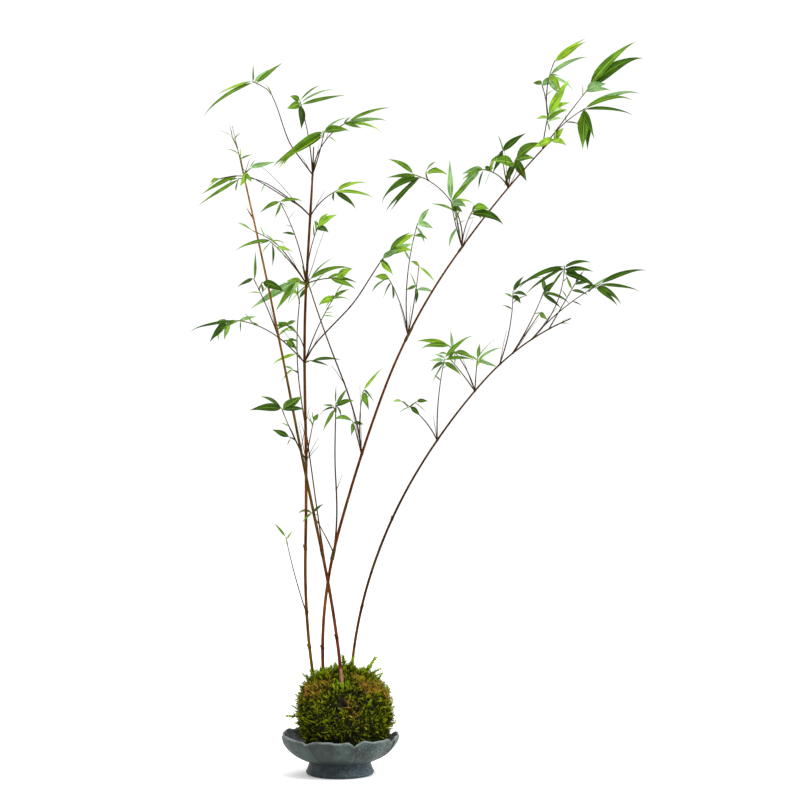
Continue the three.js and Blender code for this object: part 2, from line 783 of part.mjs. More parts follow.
const group = new THREE.Group();
const limbs = {};
for (const [name, cane] of Object.entries(CANES)) limbs[name] = makeCane(cane);
const sockets = Object.values(limbs).map(socketSolid);
for (const [name, bough] of Object.entries(BOUGHS)) limbs[name] = makeBough(bough, limbs);
addMesh(group, "lotus_dish", makeDish(), SURFACES.dish);
addMesh(group, "moss_ball", makeBall(sockets), SURFACES.moss);
for (const [name, limb] of Object.entries(limbs)) addMesh(group, name, limb.solid, SURFACES.cane);
for (const [name, solid] of Object.entries(makeSprays(limbs))) addMesh(group, name, solid, SURFACES.leaf);

export default group;
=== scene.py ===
# %% [markdown]
# # A bamboo that grows from a ball of moss
#
# Five thin canes rise from a round ball of moss, arch outwards and end in sparse sprays of narrow leaves. The
# ball stands in a low footed dish whose wall is shaped like the petals of a lotus. The solids of the part give
# the places and sizes. Here each of them gets the finer shape and the finish that the eye expects.

import math
import random

import bmesh
import bpy
import numpy as np
from mathutils import Matrix, Vector, noise
from mathutils.bvhtree import BVHTree


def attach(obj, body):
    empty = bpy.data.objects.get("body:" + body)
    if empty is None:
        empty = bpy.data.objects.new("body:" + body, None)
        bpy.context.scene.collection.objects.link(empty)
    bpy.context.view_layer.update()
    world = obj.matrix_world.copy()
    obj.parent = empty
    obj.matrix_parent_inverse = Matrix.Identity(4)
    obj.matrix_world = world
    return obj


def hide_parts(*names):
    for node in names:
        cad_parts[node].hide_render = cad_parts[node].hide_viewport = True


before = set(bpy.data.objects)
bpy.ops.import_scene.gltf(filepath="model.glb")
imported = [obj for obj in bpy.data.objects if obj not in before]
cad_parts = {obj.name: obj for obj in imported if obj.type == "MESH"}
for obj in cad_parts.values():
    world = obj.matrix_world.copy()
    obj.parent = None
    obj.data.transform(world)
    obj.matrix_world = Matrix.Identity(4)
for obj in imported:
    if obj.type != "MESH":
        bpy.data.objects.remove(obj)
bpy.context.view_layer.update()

# %% [markdown]
# Plants and pottery are measured in millimetres, and Blender works in metres. Every shape below is made in
# millimetres and is scaled once, when its piece is finished. A finished piece has its place in its mesh, so
# that its object stays at the origin and a pattern on object coordinates lies where it should.

# %% Finish a piece
MM = 0.001
UP = Vector((0, 0, 1))
BACK = Vector((0, 1, 0))


def finish_piece(name, mesh, material, stands_for=(), smooth=True, crease=40):
    """Links a mesh in metres as a piece of the plant, with its finish and the solids that it stands for."""
    piece = bpy.data.objects.new(name, mesh)
    bpy.context.scene.collection.objects.link(piece)
    mesh.materials.append(material)
    mesh.shade_smooth() if smooth else mesh.shade_flat()
    if smooth:
        mesh.set_sharp_from_angle(angle=math.radians(crease))
    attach(piece, "root")
    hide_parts(*stands_for)
    print(f"{name}: {len(mesh.polygons)} faces")


def mesh_of(bm, name):
    """A mesh in metres from a bmesh in millimetres, with its faces turned outwards."""
    bmesh.ops.recalc_face_normals(bm, faces=bm.faces[:])
    bm.transform(Matrix.Scale(MM, 4))
    mesh = bpy.data.meshes.new(name)
    bm.to_mesh(mesh)
    bm.free()
    return mesh


# %% [markdown]
# Colours are easiest to read as the hex values of a colour picker, and the shader wants linear light. One
# function turns the first into the second. One more adds a node with its settings and its links and hands back
# the node's output, so that each material below reads as a short recipe. The kinds of node that come up again
# and again get short names first. A mix of two colours takes them at its inputs 6 and 7 and gives the result at
# its output 2.

# %% Colours and nodes
PLACE, PARTS, MARK = "ShaderNodeTexCoord", "ShaderNodeSeparateXYZ", "ShaderNodeAttribute"
NOISE, RAMP, RANGE = "ShaderNodeTexNoise", "ShaderNodeValToRGB", "ShaderNodeMapRange"
MIX, MATH, BUMP = "ShaderNodeMix", "ShaderNodeMath", "ShaderNodeBump"
COLOURS = {"data_type": "RGBA"}
STAIN = {"data_type": "RGBA", "blend_type": "MULTIPLY"}
SMOOTH = {"interpolation_type": "SMOOTHSTEP"}
FIRST, SECOND, MIXED = 6, 7, 2


def linear(colour):
    """The linear colour of an sRGB hex value."""
    shares = [int(colour[i : i + 2], 16) / 255 for i in (1, 3, 5)]
    return [s / 12.92 if s <= 0.04045 else ((s + 0.055) / 1.055) ** 2.4 for s in shares] + [1.0]


def add(material, kind, settings=(), inputs=(), stops=(), out=0):
    """Adds a node and gives one of its outputs. An input is a value, or the output that it is linked to."""
    tree = material.node_tree
    made = tree.nodes.new(kind)
    for key, value in dict(settings).items():
        setattr(made, key, value)
    for key, value in dict(inputs).items():
        if isinstance(value, bpy.types.NodeSocket):
            tree.links.new(value, made.inputs[key])
        else:
            made.inputs[key].default_value = value
    for i, (place, colour) in enumerate(stops):
        points = made.color_ramp.elements
        point = points[i] if i < 2 else points.new(place)
        point.position, point.color = place, linear(colour)
    return made.outputs[out]


def new_material(name, roughness, shine=0.5):
    """A material and its surface shader, as rough and as shiny as said."""
    material = bpy.data.materials.new(name)
    material.use_nodes = True
    shader = material.node_tree.nodes["Principled BSDF"]
    shader.inputs["Roughness"].default_value = roughness
    shader.inputs["Specular IOR Level"].default_value = shine
    return material, shader


def link(material, output, socket):
    material.node_tree.links.new(output, socket)


# %% [markdown]
# The plant is seen level from its front, from nearly three metres away, through a long lens, so that the canes
# keep their true lean. It stands on a white studio floor under a white sky. A strong soft lamp stands above it
# on the right and weaker ones on the left and behind. That is the light of a catalogue picture: the paper,
# which glows a little as on a light table, is bleached to plain white, and the left side of the dish and of the
# moss falls into shade.

# %% Camera, floor and light
CAMERA = {"place": (0.072, -2.667, 0.449), "tilt": 90, "lens": 100, "sensor": 36, "sees_to": 60}
LAMPS_FACE = Vector((0.07, 0, 0.4))
# Each lamp's place and size in metres, and its power in watts.
LAMPS = {
    "key_lamp": ((1.6, -1.8, 2.5), 1.3, 110),
    "fill_lamp": ((-1.9, -1.5, 1.7), 1.8, 16),
    "back_lamp": ((0.4, 2.2, 2.2), 1.6, 30),
}
SKY = {"colour": (1, 1, 1, 1), "strength": 1.06}
FLOOR = {"radius": 14, "sides": 96, "colour": "#fafaf9", "roughness": 0.9, "glow": 0.1}


def studio():
    """The camera, the floor and the lamps."""
    camera = bpy.data.objects.new("camera", bpy.data.cameras.new("camera"))
    camera.location = CAMERA["place"]
    camera.rotation_euler = (math.radians(CAMERA["tilt"]), 0, 0)
    camera.data.lens = CAMERA["lens"]
    camera.data.sensor_width = CAMERA["sensor"]
    camera.data.clip_end = CAMERA["sees_to"]
    scene = bpy.context.scene
    scene.collection.objects.link(camera)
    scene.camera = camera
    scene.view_settings.view_transform = "Standard"
    for name, (place, size, watts) in LAMPS.items():
        lamp = bpy.data.lights.new(name, "AREA")
        lamp.energy, lamp.size = watts, size
        holder = bpy.data.objects.new(name, lamp)
        holder.location = place
        holder.rotation_euler = (Vector(place) - LAMPS_FACE).to_track_quat("Z", "Y").to_euler()
        scene.collection.objects.link(holder)
    world = bpy.data.worlds.new("white_sky")
    scene.world = world
    world.use_nodes = True
    sky = world.node_tree.nodes["Background"].inputs
    sky["Color"].default_value = SKY["colour"]
    sky["Strength"].default_value = SKY["strength"]


def studio_floor():
    """A wide round floor of white paper."""
    bm = bmesh.new()
    bmesh.ops.create_circle(bm, cap_ends=True, segments=FLOOR["sides"], radius=FLOOR["radius"])
    mesh = bpy.data.meshes.new("floor")
    bm.to_mesh(mesh)
    bm.free()
    floor = bpy.data.objects.new("floor", mesh)
    bpy.context.scene.collection.objects.link(floor)
    material, shader = new_material("studio_paper", FLOOR["roughness"])
    shader.inputs["Base Color"].default_value = linear(FLOOR["colour"])
    shader.inputs["Emission Color"].default_value = linear("#ffffff")
    shader.inputs["Emission Strength"].default_value = FLOOR["glow"]
    mesh.materials.append(material)


studio()
studio_floor()
print("camera, floor and lamps are in place")

# %% [markdown]
# The dish is stoneware pressed over a mould: seven petals make its wall, each with a wavy edge, and the clay
# between them is drawn down to a round foot. A potter would throw it and then cut the rim. So its profile is
# spun round the upright axis, and each point of the wall is then moved by where it lies on its petal: outwards
# in the middle of the petal and down at the notch beside it. The petals overlap like shingles, so that below
# each notch a slanting edge stands out over a groove.

# %% The dish
DISH = {
    "underside": ((0.0, 0.0), (20.0, 0.0), (35.5, 0.0), (36.5, 0.3)),
    "foot_edge": (40.6, 0.8),
    "foot": (41.0, 4.0),
    "waist": (38.6, 8.0),
    "neck_fillet": (0.3, 0.8),
    "neck_radius": 36.6,
    "neck_height": 15.5,
    "bulge_radius": 66.0,
    "bulge_height": 25.5,
    "rim_radius": 70.5,
    "height": 48.8,
    "wall": 3.4,
    "rim_rounding": (1.2, 0.6),
    "lip_width": 0.75,
    "inner_bulge_above": 2.2,
    "floor_dip": ((24.0, 0.4), (12.0, 0.6), (0.0, 0.6)),
    "floor_radius": 36.0,
    "floor_height": 20.0,
    "curve_points": {"edge": 5, "waist": 7, "wall": 26, "inside": 20},
    "petals": 7,
    "columns_per_petal": 84,
    "first_notch": 15.0,
    "notch_depth": 5.0,
    "swell": 2.4,
    "edge_bend": 0.7,
    "overlap": 1.15,
    "overlap_width": 7.0,
    "overlap_start": (0.02, 0.2),
    "step_width": 0.7,
    "groove": 1.0,
    "groove_width": 1.3,
    "groove_start": (0.0, 0.12),
    "lip": 0.4,
    "skin": 1.2,
    "rim_band": 7,
    "worn_band": (2.6, 0.2),
}
# What the potter's hand leaves uneven: how high in mm, from lump to lump in mm, and where the noise is cut.
HAND = {"edge": (0.7, 9, 8.3), "rim": (1.3, 60, 3.1), "wall": (0.6, 0.09), "skin": (0.22, 0.35), "tilt": 0.012}
# The waves along the edge of a petal: height in mm, half waves on a petal, and shift from petal to petal.
EDGE_WAVES = ((0.85, 4, 0.7), (0.5, 6, 1.9))
# How full a petal is, from 0 at its notch to 1 in its middle, where its wall neither swells nor draws in.
EVEN_FULLNESS = 0.6
# Where the edge of each petal runs past its notch, in degrees at the rim and at the neck, and which side of it
# lies on top: 1 for the petal to the right of the edge, -1 for the petal to its left.
PETAL_EDGES = (
    (0.5, 8.0, -1), (3.0, 9.0, 1), (1.0, 7.0, -1), (4.0, 9.0, 1),
    (2.0, 8.0, -1), (3.0, 9.0, 1), (7.0, 13.0, 1),
)


def smooth_step(low, high, value):
    share = min(1.0, max(0.0, (value - low) / (high - low)))
    return share * share * (3 - 2 * share)


def bent(start, corner, end, count):
    """Points on a curve from start to end that leans towards a corner, without its start."""
    shares = [(i + 1) / count for i in range(count)]
    return [
        (
            (1 - t) ** 2 * start[0] + 2 * t * (1 - t) * corner[0] + t * t * end[0],
            (1 - t) ** 2 * start[1] + 2 * t * (1 - t) * corner[1] + t * t * end[1],
        )
        for t in shares
    ]


def dish_profile():
    """The dish's profile from the middle of its underside, up the wall, over the rim and back to the middle."""
    edge, foot, waist, wall = (DISH[key] for key in ("foot_edge", "foot", "waist", "wall"))
    count = DISH["curve_points"]
    neck, rim = (DISH["neck_radius"], DISH["neck_height"]), (DISH["rim_radius"], DISH["height"])
    wider, lower = DISH["neck_fillet"]
    below, above = DISH["rim_rounding"]
    lip = (rim[0] - wall * DISH["lip_width"], rim[1])
    floor = (DISH["floor_radius"], DISH["floor_height"])
    inner_bulge = (DISH["bulge_radius"] - wall, DISH["bulge_height"] + DISH["inner_bulge_above"] * wall)
    return (
        list(DISH["underside"])
        + bent(DISH["underside"][-1], edge, foot, count["edge"])
        + bent(foot, waist, (neck[0] + wider, neck[1] - lower), count["waist"])
        + [neck]
        + bent(neck, (DISH["bulge_radius"], DISH["bulge_height"]), (rim[0], rim[1] - below), count["wall"])
        + bent((rim[0], rim[1] - below), (rim[0], rim[1] + above), lip, count["edge"])
        + bent(lip, inner_bulge, floor, count["inside"])
        + [(radius, floor[1] - dip) for radius, dip in DISH["floor_dip"]]
    )


def petal_share(x, y):
    """How far a place round the dish is through its petal, from notch to notch, and which petal it is."""
    turns = (math.degrees(math.atan2(x, -y)) - DISH["first_notch"]) * DISH["petals"] / 360
    return turns % 1.0, int(math.floor(turns)) % DISH["petals"]


def petal_edge(point, climb):
    """How far a point of the outer wall is past the nearest edge of a petal, in mm, and the side on top."""
    turn = math.degrees(math.atan2(point.x, -point.y)) - DISH["first_notch"]
    radius = math.hypot(point.x, point.y)
    best, top = math.inf, 1
    for i, (at_rim, at_neck, side) in enumerate(PETAL_EDGES):
        edge = 360 * i / DISH["petals"] + at_neck + (at_rim - at_neck) * climb ** DISH["edge_bend"]
        past = math.radians((turn - edge + 180) % 360 - 180) * radius
        if abs(past) < abs(best):
            best, top = past, side
    return best, top


def uneven(point, height, spacing, cut):
    """What the potter's hand leaves uneven at a place round the dish."""
    return height * noise.noise(Vector((point.x / spacing, point.y / spacing, cut)))


def shape_petals(point):
    """Moves a point of the spun wall to its place on its petal, and tells how deep it lies in a groove."""
    radius = math.hypot(point.x, point.y)
    opened = smooth_step(DISH["neck_height"], DISH["height"], point.z)
    if radius <= DISH["floor_radius"] or opened == 0:
        return 0.0
    share, petal = petal_share(point.x, point.y)
    fullness = math.sin(math.pi * share)
    notch = DISH["notch_depth"] * (1 - fullness) ** 3
    hump = sum(high * math.cos(waves * math.pi * share + shift * petal) for high, waves, shift in EDGE_WAVES)
    hump += uneven(point, *HAND["edge"])
    taller = uneven(point, *HAND["rim"]) - HAND["tilt"] * (point.x - point.y)
    bulge, bulge_scale = HAND["wall"]
    lean_out = DISH["swell"] * opened * (fullness - EVEN_FULLNESS)
    lean_out += bulge * opened * noise.noise(point * bulge_scale)
    climb = (point.z - DISH["neck_height"]) / (DISH["height"] - DISH["neck_height"])
    groove, relief = 0.0, 0.0
    if point.z < DISH["height"] - DISH["lip"] and radius > outer_radius(point.z) - DISH["skin"]:
        past, top = petal_edge(point, climb)
        groove = math.exp(-((past / DISH["groove_width"]) ** 2)) * smooth_step(*DISH["groove_start"], climb)
        step = math.tanh(past / DISH["step_width"]) * top * math.exp(-abs(past) / DISH["overlap_width"])
        relief = DISH["overlap"] * step * smooth_step(*DISH["overlap_start"], climb) - DISH["groove"] * groove
    wider = (radius + lean_out + relief) / radius
    point.x, point.y = point.x * wider, point.y * wider
    point.z += opened**2 * (taller - hump) - opened * notch
    return groove


OUTSIDE = bent(
    (DISH["neck_radius"], DISH["neck_height"]),
    (DISH["bulge_radius"], DISH["bulge_height"]),
    (DISH["rim_radius"], DISH["height"] - DISH["rim_rounding"][0]),
    DISH["curve_points"]["wall"],
)


def outer_radius(height):
    """The radius of the plain outer wall at a height."""
    return float(np.interp(height, [z for _, z in OUTSIDE], [r for r, _ in OUTSIDE]))


def make_dish():
    """Spins the profile, draws the petals, and marks how near each point is to the rim or a groove."""
    bm = bmesh.new()
    points = [bm.verts.new((r, 0, z)) for r, z in dish_profile()]
    edges = [bm.edges.new(pair) for pair in zip(points, points[1:])]
    steps = DISH["petals"] * DISH["columns_per_petal"]
    axis = {"cent": (0, 0, 0), "axis": (0, 0, 1), "angle": math.tau}
    bmesh.ops.spin(bm, geom=points + edges, steps=steps, use_merge=True, **axis)
    bmesh.ops.remove_doubles(bm, verts=bm.verts[:], dist=1e-3)
    rim = bm.verts.layers.float.new("rim")
    groove = bm.verts.layers.float.new("groove")
    worn_from, worn_to = (DISH["height"] - below for below in DISH["worn_band"])
    rough, rough_scale = HAND["skin"]
    for point in bm.verts:
        near = math.hypot(point.co.x, point.co.y) > DISH["rim_radius"] - DISH["rim_band"]
        point[rim] = smooth_step(worn_from, worn_to, point.co.z) if near else 0.0
        point[groove] = shape_petals(point.co)
        point.co += point.co.normalized() * rough * noise.noise(point.co * rough_scale) * (point.co.z > 1)
    return mesh_of(bm, "petal_dish")


# %% [markdown]
# The clay has a dull slate glaze with no shine: grey with a little green on the petals, bluer and darker on
# the foot, where the glaze ran thick. It pooled dark in the grooves, and painted shade darkens them further. Fine
# sand in the clay pits it all over and leaves pale specks, and the glaze has worn thin on the edge of the rim,
# which shows paler. Light from the right is painted in: all that faces right is painted lighter, with stronger
# specks, and all that faces left is painted darker, as shade.

# %% Slate glazed stoneware
def slate_stoneware():
    """Dry slate glaze on stoneware: soft clouds of grey green, pits of about 1 mm, pale specks, a worn rim."""
    material, shader = new_material("slate_glazed_stoneware", 0.55, 0.3)
    place = add(material, PLACE, out="Object")
    # The X part of the object normal drives painted light and shade below: lighter where the surface faces right,
    # darker where it faces left.
    normal = add(material, PLACE, out="Normal")
    facing_right = add(material, PARTS, inputs={"Vector": normal}, out="X")
    height = add(material, PARTS, inputs={"Vector": place}, out="Z")

    # The clouds of the glaze, those of the foot, and painted light on the part of the foot that faces right.
    clouds = add(material, NOISE, inputs={"Vector": place, "Scale": 38.0, "Detail": 6.0})
    greens = ((0.34, "#0e1512"), (0.5, "#1e2924"), (0.66, "#33433c"))
    wall_tone = add(material, RAMP, inputs={"Fac": clouds}, stops=greens)
    foot_clouds = add(material, NOISE, inputs={"Vector": place, "Scale": 120.0, "Detail": 4.0})
    foot_tone = add(material, RAMP, inputs={"Fac": foot_clouds}, stops=((0.38, "#03090b"), (0.62, "#1a2c33")))
    lit_foot_range = {"Value": facing_right, "From Min": -0.1, "From Max": 0.7, "To Max": 0.6}
    foot_painted_light = add(material, RANGE, inputs=lit_foot_range)
    lit_foot_mix = {"Factor": foot_painted_light, FIRST: foot_tone, SECOND: linear("#34434a")}
    foot = add(material, MIX, COLOURS, lit_foot_mix, out=MIXED)
    above_foot = add(material, RANGE, SMOOTH, {"Value": height, "From Min": 13 * MM, "From Max": 20 * MM})
    glaze = add(material, MIX, COLOURS, {"Factor": above_foot, FIRST: foot, SECOND: wall_tone}, out=MIXED)

    # Painted light and shade: what faces left is painted darker, what faces right lighter, and the specks are painted
    # stronger there.
    facing_lamp_share = add(material, RANGE, inputs={"Value": facing_right, "From Min": -0.9, "From Max": 0.9})
    painted_light_and_shade = add(material, RAMP, inputs={"Fac": facing_lamp_share}, stops=((0.0, "#bcc0be"), (0.5, "#eeeeee"), (1.0, "#ffffff")))
    lit_and_shaded_glaze = add(material, MIX, STAIN, {"Factor": 1.0, FIRST: glaze, SECOND: painted_light_and_shade}, out=MIXED)
    sand = add(material, NOISE, inputs={"Vector": place, "Scale": 640.0, "Detail": 3.0})
    speck = add(material, RANGE, inputs={"Value": sand, "From Min": 0.53, "From Max": 0.68, "To Max": 0.75})
    # The sand specks are real; painted light makes them stronger where the surface faces right.
    speck_light_range = {"Value": facing_right, "From Min": -0.2, "From Max": 0.8, "To Min": 0.12, "To Max": 1.0}
    to_the_light = add(material, RANGE, inputs=speck_light_range)
    specks = add(material, MATH, {"operation": "MULTIPLY"}, {0: speck, 1: to_the_light})
    lit_sand_mix = {"Factor": specks, FIRST: lit_and_shaded_glaze, SECOND: linear("#6c7f86")}
    specked = add(material, MIX, COLOURS, lit_sand_mix, out=MIXED)

    # Dark pooled glaze and painted shade in the grooves, and the worn edge of the rim.
    groove = add(material, MARK, {"attribute_name": "groove"}, out="Fac")
    pooled_glaze_and_shade = add(material, MIX, COLOURS, {"Factor": groove, FIRST: specked, SECOND: linear("#060a0b")}, out=MIXED)
    rim = add(material, MARK, {"attribute_name": "rim"}, out="Fac")
    patches = add(material, NOISE, inputs={"Vector": place, "Scale": 160.0, "Detail": 3.0})
    wear = add(material, MATH, {"operation": "MULTIPLY"}, {0: rim, 1: patches})
    worn = add(material, MIX, COLOURS, {"Factor": wear, FIRST: pooled_glaze_and_shade, SECOND: linear("#7c8583")}, out=MIXED)
    link(material, worn, shader.inputs["Base Color"])
    pits = add(material, NOISE, inputs={"Vector": place, "Scale": 700.0, "Detail": 3.0})
    bump = add(material, BUMP, inputs={"Height": pits, "Strength": 0.35, "Distance": 0.4 * MM})
    link(material, bump, shader.inputs["Normal"])
    return material


finish_piece("petal_dish", make_dish(), slate_stoneware(), ["lotus_dish"], crease=60)


# %% [markdown]
# Under the moss is a ball of dark wet earth and old moss bound with thread. It shows only between the sprigs,
# so it is a sphere of many small faces, drawn to the ball's squarish outline and roughened with soft noise. A
# small hollow near the front, where the moss has died back, is pressed into it.

# %% The ball of earth
BALL = {
    "centre": Vector((6, 0, 70)),
    "half_size": 57.5,
    "squareness": 2.25,
    "moss_squareness": 2.0,
    "left_shoulder": 0.6,
    "shoulder_rise": (0.0, 0.4),
    "moss_depth": 3.9,
    "earth_below": 2.2,
    "floor": 20.3,
    "socket_depth": 12.0,
    "wide_lumps": (2.0, 2.3),
    "small_lumps": (2.2, 6.1),
    "crumbs": (1.3, 19),
    "hollow": (7.0, 0.09),
    "fineness": 7,
}
WHERE_LUMPS_LIE = Vector((4, 2, 7))
HOLLOW = Vector((-1, -53, 22)).normalized()


def ball_height(x, y):
    """The height of the ball's top over a place in its plan, where a cane stands."""
    out = math.hypot(x - BALL["centre"].x, y - BALL["centre"].y) / BALL["half_size"]
    bend = BALL["squareness"]
    return BALL["centre"].z + BALL["half_size"] * (1 - out**bend) ** (1 / bend)


def ball_point(way, depth):
    """The point of the ball in a direction from its middle, a depth below the tips of the moss."""
    flat = math.hypot(way.x, way.y)
    shoulder = BALL["left_shoulder"] * max(0.0, -way.x) * smooth_step(*BALL["shoulder_rise"], way.z)
    bend = 2 / (BALL["moss_squareness"] + shoulder)
    (wide_high, wide_scale), (small_high, small_scale) = BALL["wide_lumps"], BALL["small_lumps"]
    lump = wide_high * noise.noise(way * wide_scale + WHERE_LUMPS_LIE) + small_high * noise.noise(way * small_scale)
    size = BALL["half_size"] - depth + lump
    wide = size * flat**bend / max(flat, 1e-6)
    high = size * math.copysign(abs(way.z) ** bend, way.z)
    point = BALL["centre"] + Vector((way.x * wide, way.y * wide, high))
    point.z = max(point.z, BALL["floor"])
    return point


def make_earth():
    """A fine icosphere, drawn to the ball's outline, with crumbs and the hollow."""
    bm = bmesh.new()
    bmesh.ops.create_icosphere(bm, subdivisions=BALL["fineness"], radius=1)
    (crumb_high, crumb_scale), (hollow_deep, hollow_wide) = BALL["crumbs"], BALL["hollow"]
    for point in bm.verts:
        way = point.co.normalized()
        crumbs = crumb_high * noise.fractal(way * crumb_scale, 1.0, 2.0, 3)
        pressed = hollow_deep * math.exp(-(((way - HOLLOW).length / hollow_wide) ** 2))
        point.co = ball_point(way, BALL["moss_depth"] + BALL["earth_below"] + pressed - crumbs)
    return mesh_of(bm, "moss_earth")


# %% [markdown]
# Earth and dead moss are dull and dark, near black where they are wet. Their colour changes over a few
# millimetres, from olive to rust.

# %% Damp earth and old moss
def damp_earth():
    """Wet earth with old moss in it: nearly black olive and brown in patches of about 8 mm, never shiny."""
    material, shader = new_material("damp_earth_and_old_moss", 0.95)
    place = add(material, PLACE, out="Object")
    patches = add(material, NOISE, inputs={"Vector": place, "Scale": 130.0, "Detail": 5.0})
    tone = add(material, RAMP, inputs={"Fac": patches}, stops=((0.3, "#060803"), (0.5, "#0f1204"), (0.72, "#1d1207")))
    link(material, tone, shader.inputs["Base Color"])
    crumbs = add(material, NOISE, inputs={"Vector": place, "Scale": 900.0, "Detail": 3.0})
    bump = add(material, BUMP, inputs={"Height": crumbs, "Strength": 0.8, "Distance": 0.6 * MM})
    link(material, bump, shader.inputs["Normal"])
    return material


finish_piece("moss_earth", make_earth(), damp_earth(), ["moss_ball"])


# %% [markdown]
# The moss itself is thousands of sprigs, each a thin stem with two rows of tiny pointed leaves. One sprig is
# only a few dozen faces, and a few sprigs of different bends are stamped all over the ball as joined meshes
# made from arrays, which is fast and which every other program can read. Each tone of moss is a piece of its
# own: fresh yellow-green tips, green, shaded green, and the brown of dead moss in the places where it lies.
# Light hardly reaches the foot of a sprig, so each point remembers how far up its sprig it is, and the foot is
# coloured nearly black.

# %% One sprig of moss
# Shares of a sprig's height, apart from the spread of its leaves in degrees.
SPRIG = {
    "sag": 0.25, "waver": 0.06, "waver_turns": 5, "stem": 0.035, "stem_taper": 0.3,
    "bare_foot": 0.16, "leafy": 0.8, "spread": (28, 62), "sway": (-0.4, 0.4),
    "sway_with_bend": 0.35, "leaflet": (0.14, 0.27), "leaflet_taper": (1.15, 0.5),
    "leaflet_width": 0.042, "leaflet_thickness": 0.03,
}


def spine_point(bend, t, waver=0.0):
    """A point of a sprig's stem at a share of its length."""
    return Vector((bend * t * t, waver, t * (1 - SPRIG["sag"] * bend * t)))


def sprig_shape(bend, leaflets, seed, size=1.0):
    """Points, triangles and heights of a sprig one unit tall that grows along +Z and bends towards +X."""
    chance = random.Random(seed)
    points, triangles = [], []
    most, less = SPRIG["leaflet_taper"]
    spine = [spine_point(bend, t, SPRIG["waver"] * math.sin(SPRIG["waver_turns"] * t + seed)) for t in (0, 0.5, 1)]
    for i, centre in enumerate(spine[:-1]):
        width = SPRIG["stem"] * (1 - SPRIG["stem_taper"] * i) * size
        for k in range(3):
            angle = math.tau * k / 3
            points.append(centre + Vector((math.cos(angle), math.sin(angle), 0)) * width)
    points.append(spine[-1])
    for k in range(3):
        a, b = k, (k + 1) % 3
        triangles += [(a, b, b + 3), (a, b + 3, a + 3), (a + 3, b + 3, 6)]
    for i in range(leaflets):
        t = SPRIG["bare_foot"] + SPRIG["leafy"] * i / leaflets
        root = spine_point(bend, t)
        side = 1 if i % 2 else -1
        spread = math.radians(chance.uniform(*SPRIG["spread"]))
        sway = SPRIG["sway_with_bend"] * bend + chance.uniform(*SPRIG["sway"])
        lift = Vector((sway, side * math.sin(spread), math.cos(spread)))
        reach = lift.normalized() * chance.uniform(*SPRIG["leaflet"]) * (most - less * t) * size
        across = reach.cross(Vector((1, 0, 0))).normalized() * SPRIG["leaflet_width"] * size
        up = reach.cross(across).normalized() * SPRIG["leaflet_thickness"] * size
        first = len(points)
        points += [root + across, root - across, root + up, root + reach]
        triangles += [(first, first + 1, first + 3), (first + 1, first + 2, first + 3), (first + 2, first, first + 3)]
    heights = [min(1.0, max(0.0, point.z)) for point in points]
    return np.array(points), np.array(triangles), heights


SPRIGS = [sprig_shape(bend, 13, seed) for seed, bend in enumerate((0.1, 0.3, 0.5, 0.7, 0.45, 0.25))]
print("one sprig:", len(SPRIGS[0][1]), "triangles")


# %% Stamp the sprigs
NEARLY_UPRIGHT = 0.9


def facing(tips, spin):
    """Frames whose third axis points along the directions of the tips, turned about them by spin."""
    helper = np.where(np.abs(tips[:, 2:3]) < NEARLY_UPRIGHT, [[0.0, 0.0, 1.0]], [[1.0, 0.0, 0.0]])
    east = np.cross(helper, tips)
    east /= np.linalg.norm(east, axis=1, keepdims=True)
    north = np.cross(tips, east)
    bend_way = np.cos(spin)[:, None] * east + np.sin(spin)[:, None] * north
    return np.stack([bend_way, np.cross(tips, bend_way), tips], axis=2)


def stamp(name, shapes, rows):
    """One mesh in metres of a shape for each row: its root, tip direction, length, spin and kind."""
    roots, lengths, kinds = rows[:, 0:3], rows[:, 6], rows[:, 8]
    frames = facing(rows[:, 3:6], rows[:, 7])
    all_points, all_triangles, heights, start = [], [], [], 0
    for kind, (points, triangles, height) in enumerate(shapes):
        chosen = np.flatnonzero(kinds == kind)
        placed = np.einsum("nij,pj->npi", frames[chosen], points) * lengths[chosen, None, None]
        placed += roots[chosen, None, :]
        offsets = start + len(points) * np.arange(len(chosen))
        all_points.append(placed.reshape(-1, 3))
        all_triangles.append((triangles[None] + offsets[:, None, None]).reshape(-1, 3))
        heights += height * len(chosen)
        start += placed.shape[0] * placed.shape[1]
    mesh = bpy.data.meshes.new(name)
    mesh.from_pydata(np.concatenate(all_points) * MM, [], np.concatenate(all_triangles))
    mesh.attributes.new("height", "FLOAT", "POINT").data.foreach_set("value", heights)
    return mesh


# %% [markdown]
# The sprigs are dealt over the ball at even spacing, on the turns of a spiral. Their tone follows where they
# sit: dead brown moss lies in a few patches, mostly on the shoulders of the ball and round the feet of the
# canes, yellow-green tips stand singly and in loose clumps, and the rest is green, darker low down. Living
# sprigs reach for the light, outwards and up, and dead ones lie flat.

# %% Deal the sprigs over the ball
DEAD_PATCHES = (
    (Vector((26, -29, 42)), 0.34),
    (Vector((46, -14, 34)), 0.2),
    (Vector((-38, -32, 29)), 0.26),
    (Vector((-30, -34, 38)), 0.18),
    (Vector((4, -53, 21)), 0.17),
    (Vector((15, -55, 5)), 0.1),
    (Vector((-18, -34, 44)), 0.14),
    (Vector((54, -14, 24)), 0.14),
    (Vector((52, -8, 12)), 0.12),
    (Vector((20, 40, 30)), 0.3),
    (Vector((-44, 30, 8)), 0.26),
)
# How ragged a patch is, with the scale of its noise, and from where to where across its edge the moss comes alive.
PATCH_ROUGH, PATCH_SCALE, PATCH_EDGE = 0.1, 9, (0.55, 1.15)


def deadness(way):
    """How dead the moss is in a direction from the ball's middle, from 0 to 1."""
    rough = PATCH_ROUGH * noise.noise(way * PATCH_SCALE)
    away = [((way - at.normalized()).length + rough) / size for at, size in DEAD_PATCHES]
    return max(1 - smooth_step(*PATCH_EDGE, share) for share in away)


